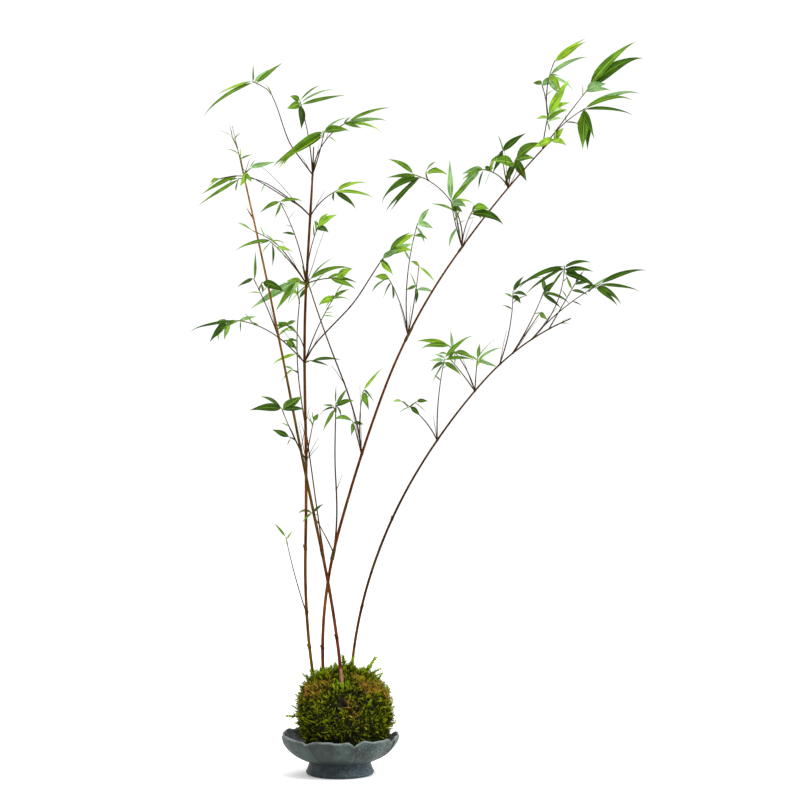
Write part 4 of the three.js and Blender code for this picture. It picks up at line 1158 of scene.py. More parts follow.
# %% Sprays
# Each twig is its start as a share of the first twig, its leans, length and turn, then its bunches: place on
# the twig, count, lean and length as seen from the front of the first leaf and of the last, and their tone. A
# last number is the width of the leaves where they are broader or narrower than usual. A spray may also say that
# all its leaves are broader by one more share, that they droop more or less, and which tones its young leaves
# have.
SPRAYS = {
    "upright_low_spray": {
        "droop": 0.5, "on": "upright_cane", "height": 193, "side": -1,
        "twigs": [[0, [-18, -11], 96, -10, [[1, 2, -45, 22, 36, 16, "mid", 0.4]]]],
    },
    "upright_first_spray": {
        "on": "upright_cane", "height": 377, "side": -1,
        "twigs": [
            [0, [-29, -19], 68, -22, [[1, 2, -95, 41, 85, 29, "dark"], [1, 2, -61, 30, 53, 32, "bright", 1.5]]],
            [0.4, [-55, -70], 8, -10, [[1, 2, -65, 20, -160, 10, "mid"]]],
            [0, [11, 13], 50, -25, [[1, 2, -6, 12, 40, 12, "mid"]]],
        ],
    },
    "upright_second_spray": {
        "droop": 1.3, "on": "upright_cane", "height": 494, "side": 1,
        "twigs": [
            [
                0,
                [-42, -48, -61, -78, -106],
                124,
                24,
                [
                    [1, 2, -167, 21, -150, 18, "bright"],
                    [0.92, 2, -99, 24, -151, 25, "mid"],
                    [0.82, 2, -104, 61, -122, 27, "dark"],
                    [0.8, 1, 71, 22, 71, 22, "pale"],
                    [0.12, 1, -108, 34, -108, 34, "mid"],
                ],
            ],
            [0.3, [60, 90], 6, 10, [[1, 2, 103, 16, 130, 20, "mid"]]],
            [0, [6, -60], 56, 36, [[1, 3, -131, 14, -67, 18, "mid"], [1, 2, 72, 15, 131, 14, "blue"]]],
            [0, [16, 31], 89, 16, [[1, 2, -138, 18, -120, 20, "bright", 1.4], [1, 3, 40, 20, 90, 23, "mid", 0.7]]],
            [0, [60, 85], 9, 30, [[1, 2, 88, 35, 104, 24, "dark", 0.55]]],
        ],
    },
    "upright_third_spray": {
        "broad": 1.15, "on": "upright_cane", "height": 589, "side": -1,
        "twigs": [
            [
                0,
                [-28, -36, -38, -58, -72],
                89,
                -25,
                [[1, 1, -70, 16, -70, 16, "mid"], [0.74, 2, -103, 42, 90, 16, "fresh", 0.5]],
            ],
            [0, [-32, -49], 63, -40, [[1, 3, -122, 13, -180, 24, "mid"], [0.83, 2, 97, 19, 138, 18, "bright"]]],
            [0, [-6, -29], 102, -14, [[1, 2, -108, 31, -145, 19, "mid", 0.7], [1, 2, 88, 31, 135, 14, "mid", 0.7]]],
            [0, [3, 24], 69, -30, [[1, 2, 33, 20, 52, 29, "mid"], [1, 2, -39, 10, 117, 16, "mid"]]],
            [0, [-60, -95], 12, -35, [[1, 3, -125, 66, -154, 31, "blue", 1.25], [0.5, 2, -136, 45, -88, 22, "pale"]]],
            [0, [70, 95], 38, -40, [[1, 1, 60, 24, 60, 24, "mid"], [0.8, 1, 110, 35, 110, 35, "dark"]]],
            [0, [40, 44], 8, -30, [[1, 2, 39, 38, 74, 56, "mid"]]],
        ],
    },
    "upright_fourth_spray": {
        "broad": 1.2, "on": "upright_cane", "height": 671, "side": 1,
        "twigs": [
            [0, [-40, -58, -56, -62, -95], 110, 20, [[1, 2, -110, 50, -125, 20, "mid", 0.65]]],
            [
                0,
                [-38, -54, -52, -68, -96],
                109,
                34,
                [[1, 2, -117, 36, -127, 60, "dark", 0.5], [1, 1, -158, 14, -158, 14, "mid"]],
            ],
            [0.98, [-92, -104], 24, 20, [[1, 2, -103, 13, -137, 20, "bright"]]],
            [0, [26, 61], 47, 30, [[1, 3, 54, 22, 98, 55, "mid", 0.75], [0.93, 2, 130, 36, 178, 14, "dark"]]],
        ],
    },
    "upright_top_spray": {
        "broad": 1.15, "on": "upright_cane", "height": 721, "side": -1,
        "twigs": [
            [
                0,
                [-38, -36, -14, -26, -78],
                131,
                -18,
                [[1, 2, -108, 47, -124, 73, "mid", 0.55], [1, 3, 9, 15, 56, 40, "blue", 0.65]],
            ],
            [0, [-2, -17], 88, -10, [[1, 3, 42, 36, 80, 56, "mid", 0.65], [1, 3, -76, 12, -178, 24, "dark"]]],
            [0, [23, 12], 51, -32, [[1, 4, -128, 66, -118, 76, "mid", 1.3], [1, 2, 61, 37, 97, 31, "pale"]]],
            [0, [6, 66], 78, -20, [[1, 3, 72, 58, 104, 46, "mid", 0.75], [0.96, 2, 90, 34, 112, 24, "bright"]]],
        ],
    },
    "leaning_middle_spray": {
        "on": "leaning_cane", "height": 523, "side": -1,
        "twigs": [
            [0, [-18, -26], 75, -24, [[1, 2, -113, 25, 10, 34, "mid", 0.65]]],
            [0.8, [10, 40], 10, -30, [[1, 2, 114, 26, 169, 14, "dark"]]],
        ],
    },
    "leaning_high_spray": {
        "on": "leaning_cane", "height": 719, "side": 1,
        "twigs": [
            [0, [20, 60], 12, 30, [[1, 2, 66, 33, 49, 14, "pale"], [0.4, 2, -166, 20, 140, 18, "bright"]]],
            [0, [-10, -14], 26, 20, [[1, 3, -75, 14, 60, 15, "mid", 0.5]]],
        ],
    },
    "leaning_tip_spray": {
        "on": "leaning_cane", "height": 752, "side": -1,
        "twigs": [[0, [-20, -30], 14, -30, [[1, 3, -75, 14, 60, 14, "mid", 0.3]]]],
    },
    "thin_middle_spray": {
        "on": "thin_cane", "height": 482, "side": 1,
        "twigs": [[0, [-50, -80], 8, 35, [[1, 2, -128, 21, -70, 15, "mid"]]]],
    },
    "thin_tip_spray": {
        "on": "thin_cane",
        "twigs": [[0, [5, -30], 14, 20, [[1, 4, -95, 22, 35, 22, "mid", 0.8]]]],
    },
    "long_first_spray": {
        "droop": 2.5, "on": "long_cane", "height": 265, "side": -1,
        "twigs": [
            [0, [-23, -31], 55, -20, [[1, 2, -138, 16, -101, 24, "mid", 0.45], [1, 2, 54, 21, 108, 14, "mid", 0.5]]],
        ],
    },
    "long_second_spray": {
        "on": "long_cane", "height": 383, "side": -1,
        "twigs": [
            [0, [-8, 12], 78, -22, [[1, 1, 38, 35, 38, 35, "mid", 0.5], [1, 2, 142, 20, 156, 23, "dark"]]],
            [0, [-12, -16], 42, -34, [[1, 2, -81, 22, 97, 12, "mid"], [0.95, 2, -171, 16, 168, 17, "blue"]]],
        ],
    },
    "long_third_spray": {
        "broad": 1.2, "on": "long_cane", "height": 527, "side": 1,
        "twigs": [
            [0, [-7, -30], 76, 22, [[1, 2, -124, 26, -75, 19, "bright"], [0.9, 2, -148, 18, 176, 20, "dark"]]],
            [0, [-6, 16], 140, 12, [[1, 3, 39, 25, 155, 22, "pale"], [0.9, 2, -125, 48, 113, 18, "mid"]]],
            [0, [12, 6], 90, 34, [[1, 2, -60, 14, 133, 28, "mid"], [0.7, 3, -100, 14, -250, 23, "dark"]]],
        ],
    },
    "long_fourth_spray": {
        "broad": 1.4, "droop": 1.4, "on": "long_cane", "height": 634, "side": -1,
        "twigs": [
            [
                0,
                [6, -76],
                112,
                -18,
                [[1, 3, -66, 32, -119, 44, "mid", 0.6], [0.94, 3, -140, 54, -117, 61, "leafy", 0.55]],
            ],
            [0.82, [-45, 10], 12, -30, [[1, 3, 55, 14, 80, 27, "bright"]]],
            [0, [-20, -10], 55, -34, [[1, 3, 0, 46, 84, 33, "mid", 0.75], [0.93, 3, 107, 20, 165, 14, "blue"]]],
            [0, [2, 32], 48, -8, [[1, 2, 84, 22, 126, 14, "mid"], [0.9, 2, 41, 14, 117, 40, "dark"]]],
            [0, [-14, -8], 40, -40, [[1, 1, -77, 32, -77, 32, "dark"], [0.6, 2, -152, 33, 176, 14, "blue"]]],
        ],
    },
    "long_fifth_spray": {
        "broad": 1.45, "on": "long_cane", "height": 706, "side": 1,
        "twigs": [
            [0, [-21, -86], 44, 26, [[1, 3, -136, 33, -100, 27, "pale"], [0.9, 2, -163, 20, 63, 12, "dark"]]],
            [0, [-13, 1], 50, 36, [[1, 2, -20, 18, 46, 40, "mid"], [1, 3, -152, 26, -117, 18, "mid"]]],
            [0, [8, 22], 38, 14, [[1, 2, 57, 29, 72, 31, "fresh"], [0.95, 3, 146, 28, 265, 28, "leafy"]]],
        ],
    },
    "long_tip_spray": {
        "broad": 1.25, "on": "long_cane",
        "twigs": [
            [0, [7, 14], 46, 18, [[1, 3, 36, 40, 64, 30, "bright", 1.25], [0.85, 3, -95, 14, -270, 18, "bright"]]],
            [0.9, [-9, 24], 72, 8, [[1, 2, 50, 45, 64, 38, "bright", 0.75], [0.72, 3, 66, 52, 157, 25, "pale", 0.8]]],
            [0.9, [0, -14], 44, 34, [[1, 2, -97, 13, 60, 16, "blue"]]],
            [0, [36, 39], 88, -22, [[1, 2, 47, 82, 55, 77, "lush", 1.3], [0.95, 2, 81, 22, 95, 30, "pale"]]],
            [0, [32, 60], 77, 16, [[1, 3, 70, 73, 92, 65, "dark", 0.62], [0.97, 3, 180, 47, 163, 42, "lush", 1.8]]],
            [0, [45, 55], 18, -36, [[1, 3, -11, 13, 97, 20, "bright"], [0.9, 1, -116, 33, -116, 33, "mid"]]],
        ],
    },
    "straight_tip_spray": {
        "droop": 1.8, "on": "straight_bough",
        "twigs": [
            [0, [2, 0], 12, 20, [[1, 3, 3, 23, 76, 28, "mid", 0.8], [0.8, 1, 149, 16, 149, 16, "dark"]]],
            [0, [-15, -25], 8, -25, [[1, 3, -83, 14, -150, 33, "mid", 0.8]]],
        ],
    },
    "crossing_tip_spray": {
        "droop": 1.6, "on": "crossing_bough",
        "twigs": [[0, [-18, -20], 12, 25, [[1, 4, -135, 32, 45, 26, "mid", 0.8]]]],
    },
    "reaching_tip_spray": {
        "on": "reaching_bough",
        "twigs": [
            [0, [36, 50], 16, -20, [[1, 3, 45, 37, 86, 35, "mid", 1.15], [0.3, 2, 60, 22, 137, 20, "dark", 1.5]]],
        ],
    },
    "arching_first_spray": {
        "droop": 2.0, "on": "arching_cane", "height": 400, "side": -1,
        "twigs": [
            [0, [-25, -60], 66, -26, [[1, 2, -90, 10, 142, 14, "mid"]]],
            [0, [-2, 12], 100, -12, [[1, 3, 52, 43, 132, 29, "mid", 0.8], [1, 4, -70, 14, -152, 26, "dark", 0.7]]],
            [0.8, [40, 60], 10, -20, [[1, 2, 90, 14, 126, 17, "dark"]]],
        ],
    },
    "arching_second_spray": {
        "droop": 2.0, "on": "arching_cane", "height": 460, "side": 1,
        "twigs": [
            [0, [-14, -44], 66, 26, [[1, 2, -83, 40, -92, 36, "mid"], [0.86, 2, -11, 24, 113, 30, "dark"]]],
            [0, [-34, -41], 52, 10, [[1, 2, 48, 12, -70, 18, "mid"]]],
            [0, [5, 7], 41, 38, [[1, 3, 16, 22, 56, 41, "mid", 0.75], [0.9, 1, 108, 28, 108, 28, "mid"]]],
        ],
    },
    "arching_third_spray": {
        "young": "shady", "droop": 1.5, "on": "arching_cane", "height": 492, "side": -1,
        "twigs": [[0, [20, -1], 90, -22, [[1, 2, 31, 21, 58, 43, "deep", 0.7], [0.97, 2, 107, 16, 146, 14, "deep"]]]],
    },
    "arching_fourth_spray": {
        "young": "shady", "broad": 1.2, "droop": 1.5, "on": "arching_cane", "height": 506, "side": 1,
        "twigs": [
            [0, [34, 22], 89, 28, [[1, 3, 0, 22, 90, 13, "deep", 0.9], [0.97, 2, 112, 39, 126, 27, "deep", 0.9]]],
            [0, [34, 35], 60, 10, [[1, 1, 120, 15, 120, 15, "plain"]]],
        ],
    },
    "arching_fifth_spray": {
        "young": "shady", "broad": 1.2, "on": "arching_cane", "height": 523, "side": -1,
        "twigs": [
            [0, [47, 0], 99, -14, [[1, 3, -118, 62, -99, 30, "deep", 0.65], [1, 5, 72, 26, 116, 46, "deep", 0.9]]],
            [0, [39, 62], 102, -32, [[1, 4, 75, 56, 137, 38, "deep", 0.75], [0.95, 2, -98, 18, -130, 12, "deep"]]],
        ],
    },
    "arching_tip_spray": {
        "young": "shady", "on": "arching_cane", "height": 536, "side": 1,
        "twigs": [
            [0, [31, 31], 67, 22, [[1, 2, 30, 16, 85, 20, "deep", 0.6], [0.85, 1, 97, 28, 97, 28, "deep", 0.6]]],
            [0, [62, 66], 18, 34, [[1, 2, 50, 14, 90, 14, "deep", 0.3]]],
        ],
    },
}
TWIG_RADIUS = (0.75, 0.5)
FINE_TWIG = (0.95, 0.5)
FIRST_SEED = 101
# The step of the generator, a whole number of 32 bits, and the mask that keeps its state to them.
STEP, WHOLE = 0x6D2B79F5, 0xFFFFFFFF


def seeded(start):
    """A repeatable stream of numbers from 0 to 1, started by a whole number."""
    state = start & WHOLE

    def draw():
        nonlocal state
        state = (state + STEP) & WHOLE
        mixed = ((state ^ (state >> 15)) * (state | 1)) & WHOLE
        mixed ^= (mixed + (((mixed ^ (mixed >> 7)) * (mixed | 61)) & WHOLE)) & WHOLE
        return (mixed ^ (mixed >> 14)) / (WHOLE + 1)

    return draw


# %% [markdown]
# The leaves of a bunch are first worked out as numbers. Each leaf sits a little further down the twig than the
# one before, so that their stalks don't cross. The middle line of a twig runs straight from ring to ring.

# %% The leaves of a bunch
TWIG_STEPS = 6
LEAF = {
    "longest": 62, "shortest": 30, "least_shown": 0.92, "shown_range": 0.16, "droop": 75,
    "jitter": 5, "roll": 60, "spacing": 2.4, "most_turn": 62,
}


def twig_point(points, share):
    """The point at a share of a twig's middle line."""
    before = min(int(share * TWIG_STEPS), TWIG_STEPS - 1)
    return points[before].lerp(points[before + 1], share * TWIG_STEPS - before)


def bunch_leaves(bunch, points, draw):
    """Root, lean, turn, length and roll of each leaf of a bunch."""
    place, count, first_lean, first_seen, last_lean, last_seen = bunch[:6]
    leaves = []
    for i in range(count):
        even = 0 if count == 1 else i / (count - 1)
        lean = mix(first_lean, last_lean, even) + LEAF["jitter"] * (2 * draw() - 1)
        shown = mix(first_seen, last_seen, even) * (LEAF["least_shown"] + LEAF["shown_range"] * draw())
        grown = mix(LEAF["shortest"], LEAF["longest"], draw())
        away = math.degrees(math.acos(min(1, shown / grown)))
        turn = min(away, LEAF["most_turn"]) * (-1 if draw() < 0.5 else 1)
        roll = LEAF["roll"] * (2 * draw() - 1)
        share = max(0, place - i * LEAF["spacing"] / span(points))
        length = shown / math.cos(math.radians(turn))
        root = twig_point(points, share)
        leaves.append({"root": root, "lean": lean, "turn": turn, "length": length, "roll": roll})
    return leaves


# %% [markdown]
# A bamboo leaf is a long lance: a short stalk, a rounded shoulder, its widest place before the middle, and a
# drawn-out point that hooks down by its own weight. It folds a little along its midrib, like a shallow gutter,
# its width hardly depends on its length, and it turns its face to the light, here to the front. Each blade is a
# closed skin of a few dozen faces: four points to a ring, the two margins, the midrib above and the midrib
# below. Each point remembers whether it lies on the midrib, and how far it is from the stalk, for the colour of
# the veins, of the rib and of the drying tip.

# %% One leaf blade
BLADE_RINGS = (
    (0.0, 0.1), (0.045, 0.11), (0.08, 0.36), (0.15, 0.7), (0.25, 0.95), (0.35, 1.0), (0.47, 0.93),
    (0.59, 0.75), (0.7, 0.53), (0.8, 0.33), (0.88, 0.18), (0.95, 0.08),
)
BLADE = {
    "width": 4.8, "widening": 0.05, "broadest": 0.17, "fold": 0.15, "thickness": 0.32,
    "side_bend": 12, "hook": 26, "hook_start": 0.62, "hook_span": 0.14, "open_roll": (30, 50),
    "steep": 0.96, "steep_roll": 0.7,
}
# What chance gives each leaf: its share of the usual width, or of the width that its row says, its droop and its
# hook.
LEAF_LUCK = {"width": (0.72, 1.45), "said_width": (0.9, 1.1), "droop": (0.05, 0.7), "hook": (0.0, 1.4)}


def blade_points(leaf):
    """The points of a leaf's blade: four to each ring and one at the tip."""
    lean, turn, length = leaf["lean"], leaf["turn"], leaf["length"]
    heading = direction(lean, turn)
    across = UP if abs(heading.z) < BLADE["steep"] else BACK
    least, more = BLADE["open_roll"]
    open_roll = math.copysign(least + more * abs(leaf["roll"]) / LEAF["roll"], leaf["roll"])
    roll = open_roll if across == UP else BLADE["steep_roll"] * leaf["roll"]
    side = (Matrix.Rotation(math.radians(roll), 3, heading) @ across.cross(heading)).normalized()
    usual = min(BLADE["width"] + BLADE["widening"] * length, BLADE["broadest"] * length)
    width = usual * leaf.get("width", 1)
    level = math.sin(math.radians(lean))
    points, centre, before = [], leaf["root"].copy(), 0.0
    for share, broad in BLADE_RINGS + ((1.0, 0.0),):
        middle = (share + before) / 2
        past = middle - 0.5
        hooked = max(0.0, middle - BLADE["hook_start"])
        hook = BLADE["hook"] * leaf.get("hook", 1) * hooked**2 / BLADE["hook_span"]
        now = lean + LEAF["droop"] * leaf.get("droop", 1) * level * abs(level) * past + hook * level
        way = direction(now, turn + leaf.get("bend", 0) * past)
        centre = centre + way * length * (share - before)
        before = share
        if broad == 0:
            points.append(centre)
            continue
        out = (side - way * side.dot(way)).normalized()
        face = way.cross(out)
        if face.z < 0:
            face = -face
        half = out * broad * width / 2
        fold = face * broad * width * BLADE["fold"]
        skin = face * BLADE["thickness"] / 2
        points += [centre - half + fold, centre + skin, centre + half + fold, centre - skin]
    return points


def blade_faces():
    """The faces of a blade as rows of point numbers."""
    faces = [(0, 3, 2, 1)]
    last = len(BLADE_RINGS) - 1
    for i in range(last):
        for k in range(4):
            a, b = 4 * i + k, 4 * i + (k + 1) % 4
            faces.append((a, b, b + 4, a + 4))
    tip = 4 * last + 4
    faces += [(4 * last + k, 4 * last + (k + 1) % 4, tip) for k in range(4)]
    return faces


BLADE_FACES = blade_faces()
# The faces beyond the first ring, which sits on the twig. Their points are counted without this ring.
FREE_FACES = [[i - 4 for i in face] for face in BLADE_FACES[5:]]
RIB_MARKS = [float(k % 2) for _ in BLADE_RINGS for k in range(4)] + [1.0]
TIP_MARKS = [share for share, _ in BLADE_RINGS for _ in range(4)] + [1.0]
print("one leaf:", len(BLADE_FACES), "faces")

# %% [markdown]
# No leaf passes through a cane. A leaf that would touch one swings aside, by a little more each time, and is
# left out if it never comes clear, as it is in the solids.

# %% Grow the sprays
LEAF_SWINGS = (0, 9, -9, 18, -18, 27, -27, 40)
TONES = {
    "dark": ("dark", "dark", "mid", "dark", "dark", "blue"),
    "deep": ("dark", "dark", "dark", "dark", "dark"),
    "mid": ("mid", "dark", "bright", "mid", "blue", "mid", "bright", "mid"),
    "lush": ("dark", "mid", "mid"),
    "leafy": ("mid", "dark", "mid", "mid", "dark", "mid", "bright", "mid"),
    "shady": ("mid", "dark", "dark", "mid", "dark", "dark", "dark", "mid"),
    "fresh": ("bright", "mid", "mid", "bright", "mid", "bright"),
    "plain": ("mid", "dark", "mid", "dark"),
    "bright": ("bright", "mid", "bright", "pale"),
    "pale": ("blue", "pale", "mid", "blue"),
    "blue": ("blue", "blue", "mid"),
}


def limb_walls():
    """The walls of all canes and boughs, to keep leaves out of."""
    points, faces = [], []
    for name in limbs:
        mesh = bpy.data.objects[f"{name}_bark"].data
        first = len(points)
        points += [vertex.co / MM for vertex in mesh.vertices]
        faces += [[first + i for i in face.vertices] for face in mesh.polygons]
    return BVHTree.FromPolygons(points, faces)


def clear_blade(leaf, walls):
    """The points of a leaf at its first swing that touches no limb."""
    for swing in LEAF_SWINGS:
        points = blade_points({**leaf, "lean": leaf["lean"] + swing})
        if not BVHTree.FromPolygons(points[4:], FREE_FACES).overlap(walls):
            return points
    return None


# Leaves that stand out by themselves, face to the front: their spray, the number of their twig, the place on it,
# lean, turn, length, share of the usual width and tone.
LONE_LEAVES = (
    ("long_tip_spray", 1, 0.74, 150, -20, 28, 2.0, "bright"),
    ("long_tip_spray", 0, 0.98, 30, 15, 54, 1.5, "bright"),
    ("long_tip_spray", 0, 0.9, -98, 20, 16, 1.4, "bright"),
    ("long_tip_spray", 0, 0.8, 62, -25, 30, 1.2, "mid"),
    ("long_fifth_spray", 0, 0.7, 18, -20, 22, 1.3, "bright"),
    ("upright_third_spray", 4, 0.5, -86, 30, 22, 2.0, "bright"),
    ("upright_third_spray", 6, 0.9, 72, -30, 50, 0.7, "mid"),
    ("upright_third_spray", 5, 0.9, 100, 20, 32, 0.7, "dark"),
    ("upright_third_spray", 5, 0.7, 78, -25, 28, 0.8, "mid"),
    ("upright_second_spray", 0, 0.93, -138, 20, 36, 1.4, "dark"),
    ("upright_second_spray", 0, 0.88, -158, -20, 24, 1.1, "bright"),
    ("reaching_tip_spray", 0, 0.1, 140, -20, 24, 2.0, "bright"),
    ("arching_fifth_spray", 0, 0.98, -124, 15, 60, 0.5, "dark"),
    ("arching_fifth_spray", 0, 0.96, -146, -20, 46, 0.5, "dark"),
    ("arching_fifth_spray", 0, 0.97, 124, 25, 34, 1.5, "dark"),
    ("arching_fifth_spray", 1, 0.8, 60, -15, 52, 0.35, "blue"),
    ("arching_first_spray", 0, 0.8, 132, 20, 18, 2.2, "dark"),
)
LONE_LEAF = {"roll": 60, "droop": 0.4, "hook": 0.6}
LEAF_SEED = 5

# Long twigs carry a few young leaves below their bunches, close to the twig.
YOUNG = {
    "least_twig": 38, "most": 3, "places": (0.55, 0.93), "angle": (20, 75), "turn": (-30, 30),
    "length": (9, 22), "roll": (-60, 60), "width": (0.5, 1.0), "droop": 0.5, "hook": 0.5,
}


def young_leaves(points, lean, chance):
    """Up to three young leaves of a twig."""
    leaves = []
    for _ in range(chance.randrange(YOUNG["most"] + 1)):
        share = chance.uniform(*YOUNG["places"])
        angle = chance.choice((-1, 1)) * chance.uniform(*YOUNG["angle"])
        leaves.append(
            {
                "root": curve_at(points, share)[0],
                "lean": lean + angle,
                "turn": chance.uniform(*YOUNG["turn"]),
                "length": chance.uniform(*YOUNG["length"]),
                "roll": chance.uniform(*YOUNG["roll"]),
                "width": chance.uniform(*YOUNG["width"]),
                "droop": YOUNG["droop"],
                "hook": YOUNG["hook"],
            }
        )
    return leaves


def grow_sprays():
    """All twigs as tubes, the twig and place of each bunch, and the points of all leaves by tone."""
    walls = limb_walls()
    blades = {"dark": [], "mid": [], "bright": [], "blue": [], "pale": []}
    tubes, sheaths, twigs_of = [], [], {}
    chance = random.Random(LEAF_SEED)

    def keep(blade, tones):
        """Keeps a leaf that touches no limb, in one of its tones."""
        if blade:
            blades[chance.choice(TONES[tones])].append(blade)

    for order, (name, spray) in enumerate(SPRAYS.items()):
        draw = seeded(FIRST_SEED + order)
        height, side = spray.get("height"), spray.get("side", 1)
        foot = foot_beside(limbs[spray["on"]], height, side, TWIG_RADIUS[0])
        first_twig = None
        for start, leans, length, turn, bunches in spray["twigs"]:
            root = foot if start == 0 else twig_point(first_twig, start)
            points = walk(root, leans, length, turn, TWIG_STEPS)
            first_twig = first_twig or points
            tubes.append((points, start == 0 and height is not None and side))
            twigs_of.setdefault(name, []).append(points)
            for bunch in bunches:
                sheaths.append((points, bunch[0]))
                for leaf in bunch_leaves(bunch, points, draw):
                    leaf["bend"] = chance.uniform(-1, 1) * BLADE["side_bend"]
                    said, luck = (bunch[7], "said_width") if len(bunch) > 7 else (1, "width")
                    leaf["width"] = said * chance.uniform(*LEAF_LUCK[luck]) * spray.get("broad", 1)
                    leaf["droop"] = chance.uniform(*LEAF_LUCK["droop"]) * spray.get("droop", 1)
                    leaf["hook"] = chance.uniform(*LEAF_LUCK["hook"])
                    keep(clear_blade(leaf, walls), bunch[6])
            if length > YOUNG["least_twig"]:
                for leaf in young_leaves(points, leans[-1], chance):
                    keep(clear_blade(leaf, walls), spray.get("young", "mid"))
    for name, number, place, lean, turn, length, width, tone in LONE_LEAVES:
        root = twig_point(twigs_of[name][number], place)
        leaf = {"root": root, "lean": lean, "turn": turn, "length": length, "width": width}
        if made := clear_blade({**leaf, **LONE_LEAF}, walls):
            blades[tone].append(made)
    return tubes, sheaths, blades


tubes, sheaths, blades = grow_sprays()
print("twigs:", len(tubes), "leaves:", {tone: len(rows) for tone, rows in blades.items()})

# %% [markdown]
# Bamboo leaves are thin and slightly glossy above, and dull and greyer below. In this light the same plant
# shows deep green blades, fresh yellow-green ones, and the blue-grey backs of leaves that have turned over. So
# the leaves are five pieces, each with its own green, which drifts along the blade. The midrib is a thin paler
# line, and the last tenth of the blade dries to straw.

# %% Leaf surface
def leaf_surface(name, dark, light, rib, roughness):
    """A living bamboo leaf: greens that drift over 15 mm, fine veins, a pale midrib, a tip that dries to straw."""
    material, shader = new_material(name, roughness, 0.03)
    place = add(material, PLACE, out="Object")
    drift = add(material, NOISE, inputs={"Vector": place, "Scale": 65.0, "Detail": 3.0})
    tone = add(material, RAMP, inputs={"Fac": drift}, stops=((0.38, dark), (0.64, light)))
    on_rib = add(material, MARK, {"attribute_name": "rib"}, out="Fac")
    across = add(material, MATH, {"operation": "MULTIPLY"}, {0: on_rib, 1: 22.0})
    wave = add(material, MATH, {"operation": "SINE"}, {0: across})
    vein = add(material, RANGE, inputs={"Value": wave, "From Min": 0.2, "From Max": 1.0, "To Max": 0.4})
    veined = add(material, MIX, COLOURS, {"Factor": vein, FIRST: tone, SECOND: linear(rib)}, out=MIXED)
    midrib = add(material, RANGE, SMOOTH, {"Value": on_rib, "From Min": 0.84, "From Max": 0.97, "To Max": 0.75})
    ribbed = add(material, MIX, COLOURS, {"Factor": midrib, FIRST: veined, SECOND: linear(rib)}, out=MIXED)
    to_tip = add(material, MARK, {"attribute_name": "tip"}, out="Fac")
    dry = add(material, RANGE, inputs={"Value": to_tip, "From Min": 0.9, "From Max": 1.0, "To Max": 0.6})
    finished = add(material, MIX, COLOURS, {"Factor": dry, FIRST: ribbed, SECOND: linear("#8d8a3c")}, out=MIXED)
    link(material, finished, shader.inputs["Base Color"])
    return material


LEAF_TONES = {
    "dark": leaf_surface("deep_green_leaf", "#142702", "#264404", "#527226", 0.6),
    "mid": leaf_surface("green_leaf", "#2a4905", "#49720d", "#7b993e", 0.6),
    "bright": leaf_surface("fresh_leaf", "#487107", "#729816", "#9ab54c", 0.6),
    "blue": leaf_surface("grey_green_leaf_back", "#42672f", "#6f9456", "#94b07c", 0.7),
    "pale": leaf_surface("pale_leaf_back", "#76984f", "#a0bc78", "#bfd09c", 0.7),
}


def blade_mesh(name, rows):
    """One mesh of all the blades of a tone, with the marks of midrib and tip."""
    count = len(rows[0])
    points = np.array([list(p) for row in rows for p in row]) * MM
    faces = [[i + count * k for i in face] for k in range(len(rows)) for face in BLADE_FACES]
    mesh = bpy.data.meshes.new(name)
    mesh.from_pydata(points, [], faces)
    bm = bmesh.new()
    bm.from_mesh(mesh)
    bmesh.ops.recalc_face_normals(bm, faces=bm.faces[:])
    bm.to_mesh(mesh)
    bm.free()
    for mark, values in (("rib", RIB_MARKS), ("tip", TIP_MARKS)):
        layer = mesh.attributes.new(mark, "FLOAT", "POINT")
        layer.data.foreach_set("value", values * len(rows))
    return mesh


for tone, rows in blades.items():
    finish_piece(f"leaves_{tone}", blade_mesh(f"leaves_{tone}", rows), LEAF_TONES[tone])

# %% [markdown]
# Twigs are the thinnest wood of the plant, one to two millimetres across, grey brown to olive. Each is grown like
# a cane, from a disc at its foot, and they are joined into one piece. Below each bunch of leaves the twig is
# wrapped in the leaves' own sheaths, which are straw coloured and a little thicker.

# %% Twigs and their sheaths
TWIG_BARK = bark("twig_bark", (190, "#3a2c0d"), (500, "#3a2412"), (800, "#432d17"))
STRAW = bark("straw_sheath", (190, "#6c6428"), (800, "#6f7430"))
WRAP = bark("dry_sheath", (110, "#94755a"), (150, "#7c5c40"), (220, "#4e3a24"), (800, "#54402a"))
SHEATH_LENGTH = 9.0
# The rings of a twig's sheath: how far up it they are, and their radius against the twig's.
SHEATH_RINGS = ((0.0, 1.25), (0.15, 1.5), (0.7, 1.3), (1.0, 0.7))
TWIG_RINGS = 14
# How far in mm the foot of a twig reaches back into its cane.
TWIG_ROOT = 1.4


def joined_tubes(name, rows, sides):
    """Tubes through rows of stations as one mesh."""
    bm = bmesh.new()
    for stations in rows:
        tube = grow_tube(stations, sides)
        loose = bpy.data.meshes.new("tube")
        tube.to_mesh(loose)
        tube.free()
        bm.from_mesh(loose)
        bpy.data.meshes.remove(loose)
    return mesh_of(bm, name)


def twig_radius(share):
    return mix(*FINE_TWIG, share)


def twig_rows():
    """The stations of each twig, the first of them inside the cane that carries it."""
    rows = []
    for points, side in tubes:
        shares = [i / TWIG_RINGS for i in range(TWIG_RINGS + 1)]
        stations = [(*curve_at(points, share), twig_radius(share), 0.0) for share in shares]
        if side:
            stations.insert(0, (points[0] - BACK * side * TWIG_ROOT, stations[0][1], twig_radius(0), 1.0))
        rows.append(stations)
    return rows


def sheath_rows():
    """The stations of the sheath below each bunch."""
    rows = []
    for points, place in sheaths:
        first = max(0.0, place - SHEATH_LENGTH / span(points))
        shares = [(mix(first, place, at), swell) for at, swell in SHEATH_RINGS]
        rows.append([(*curve_at(points, share), twig_radius(share) * swell, 0.0) for share, swell in shares])
    return rows


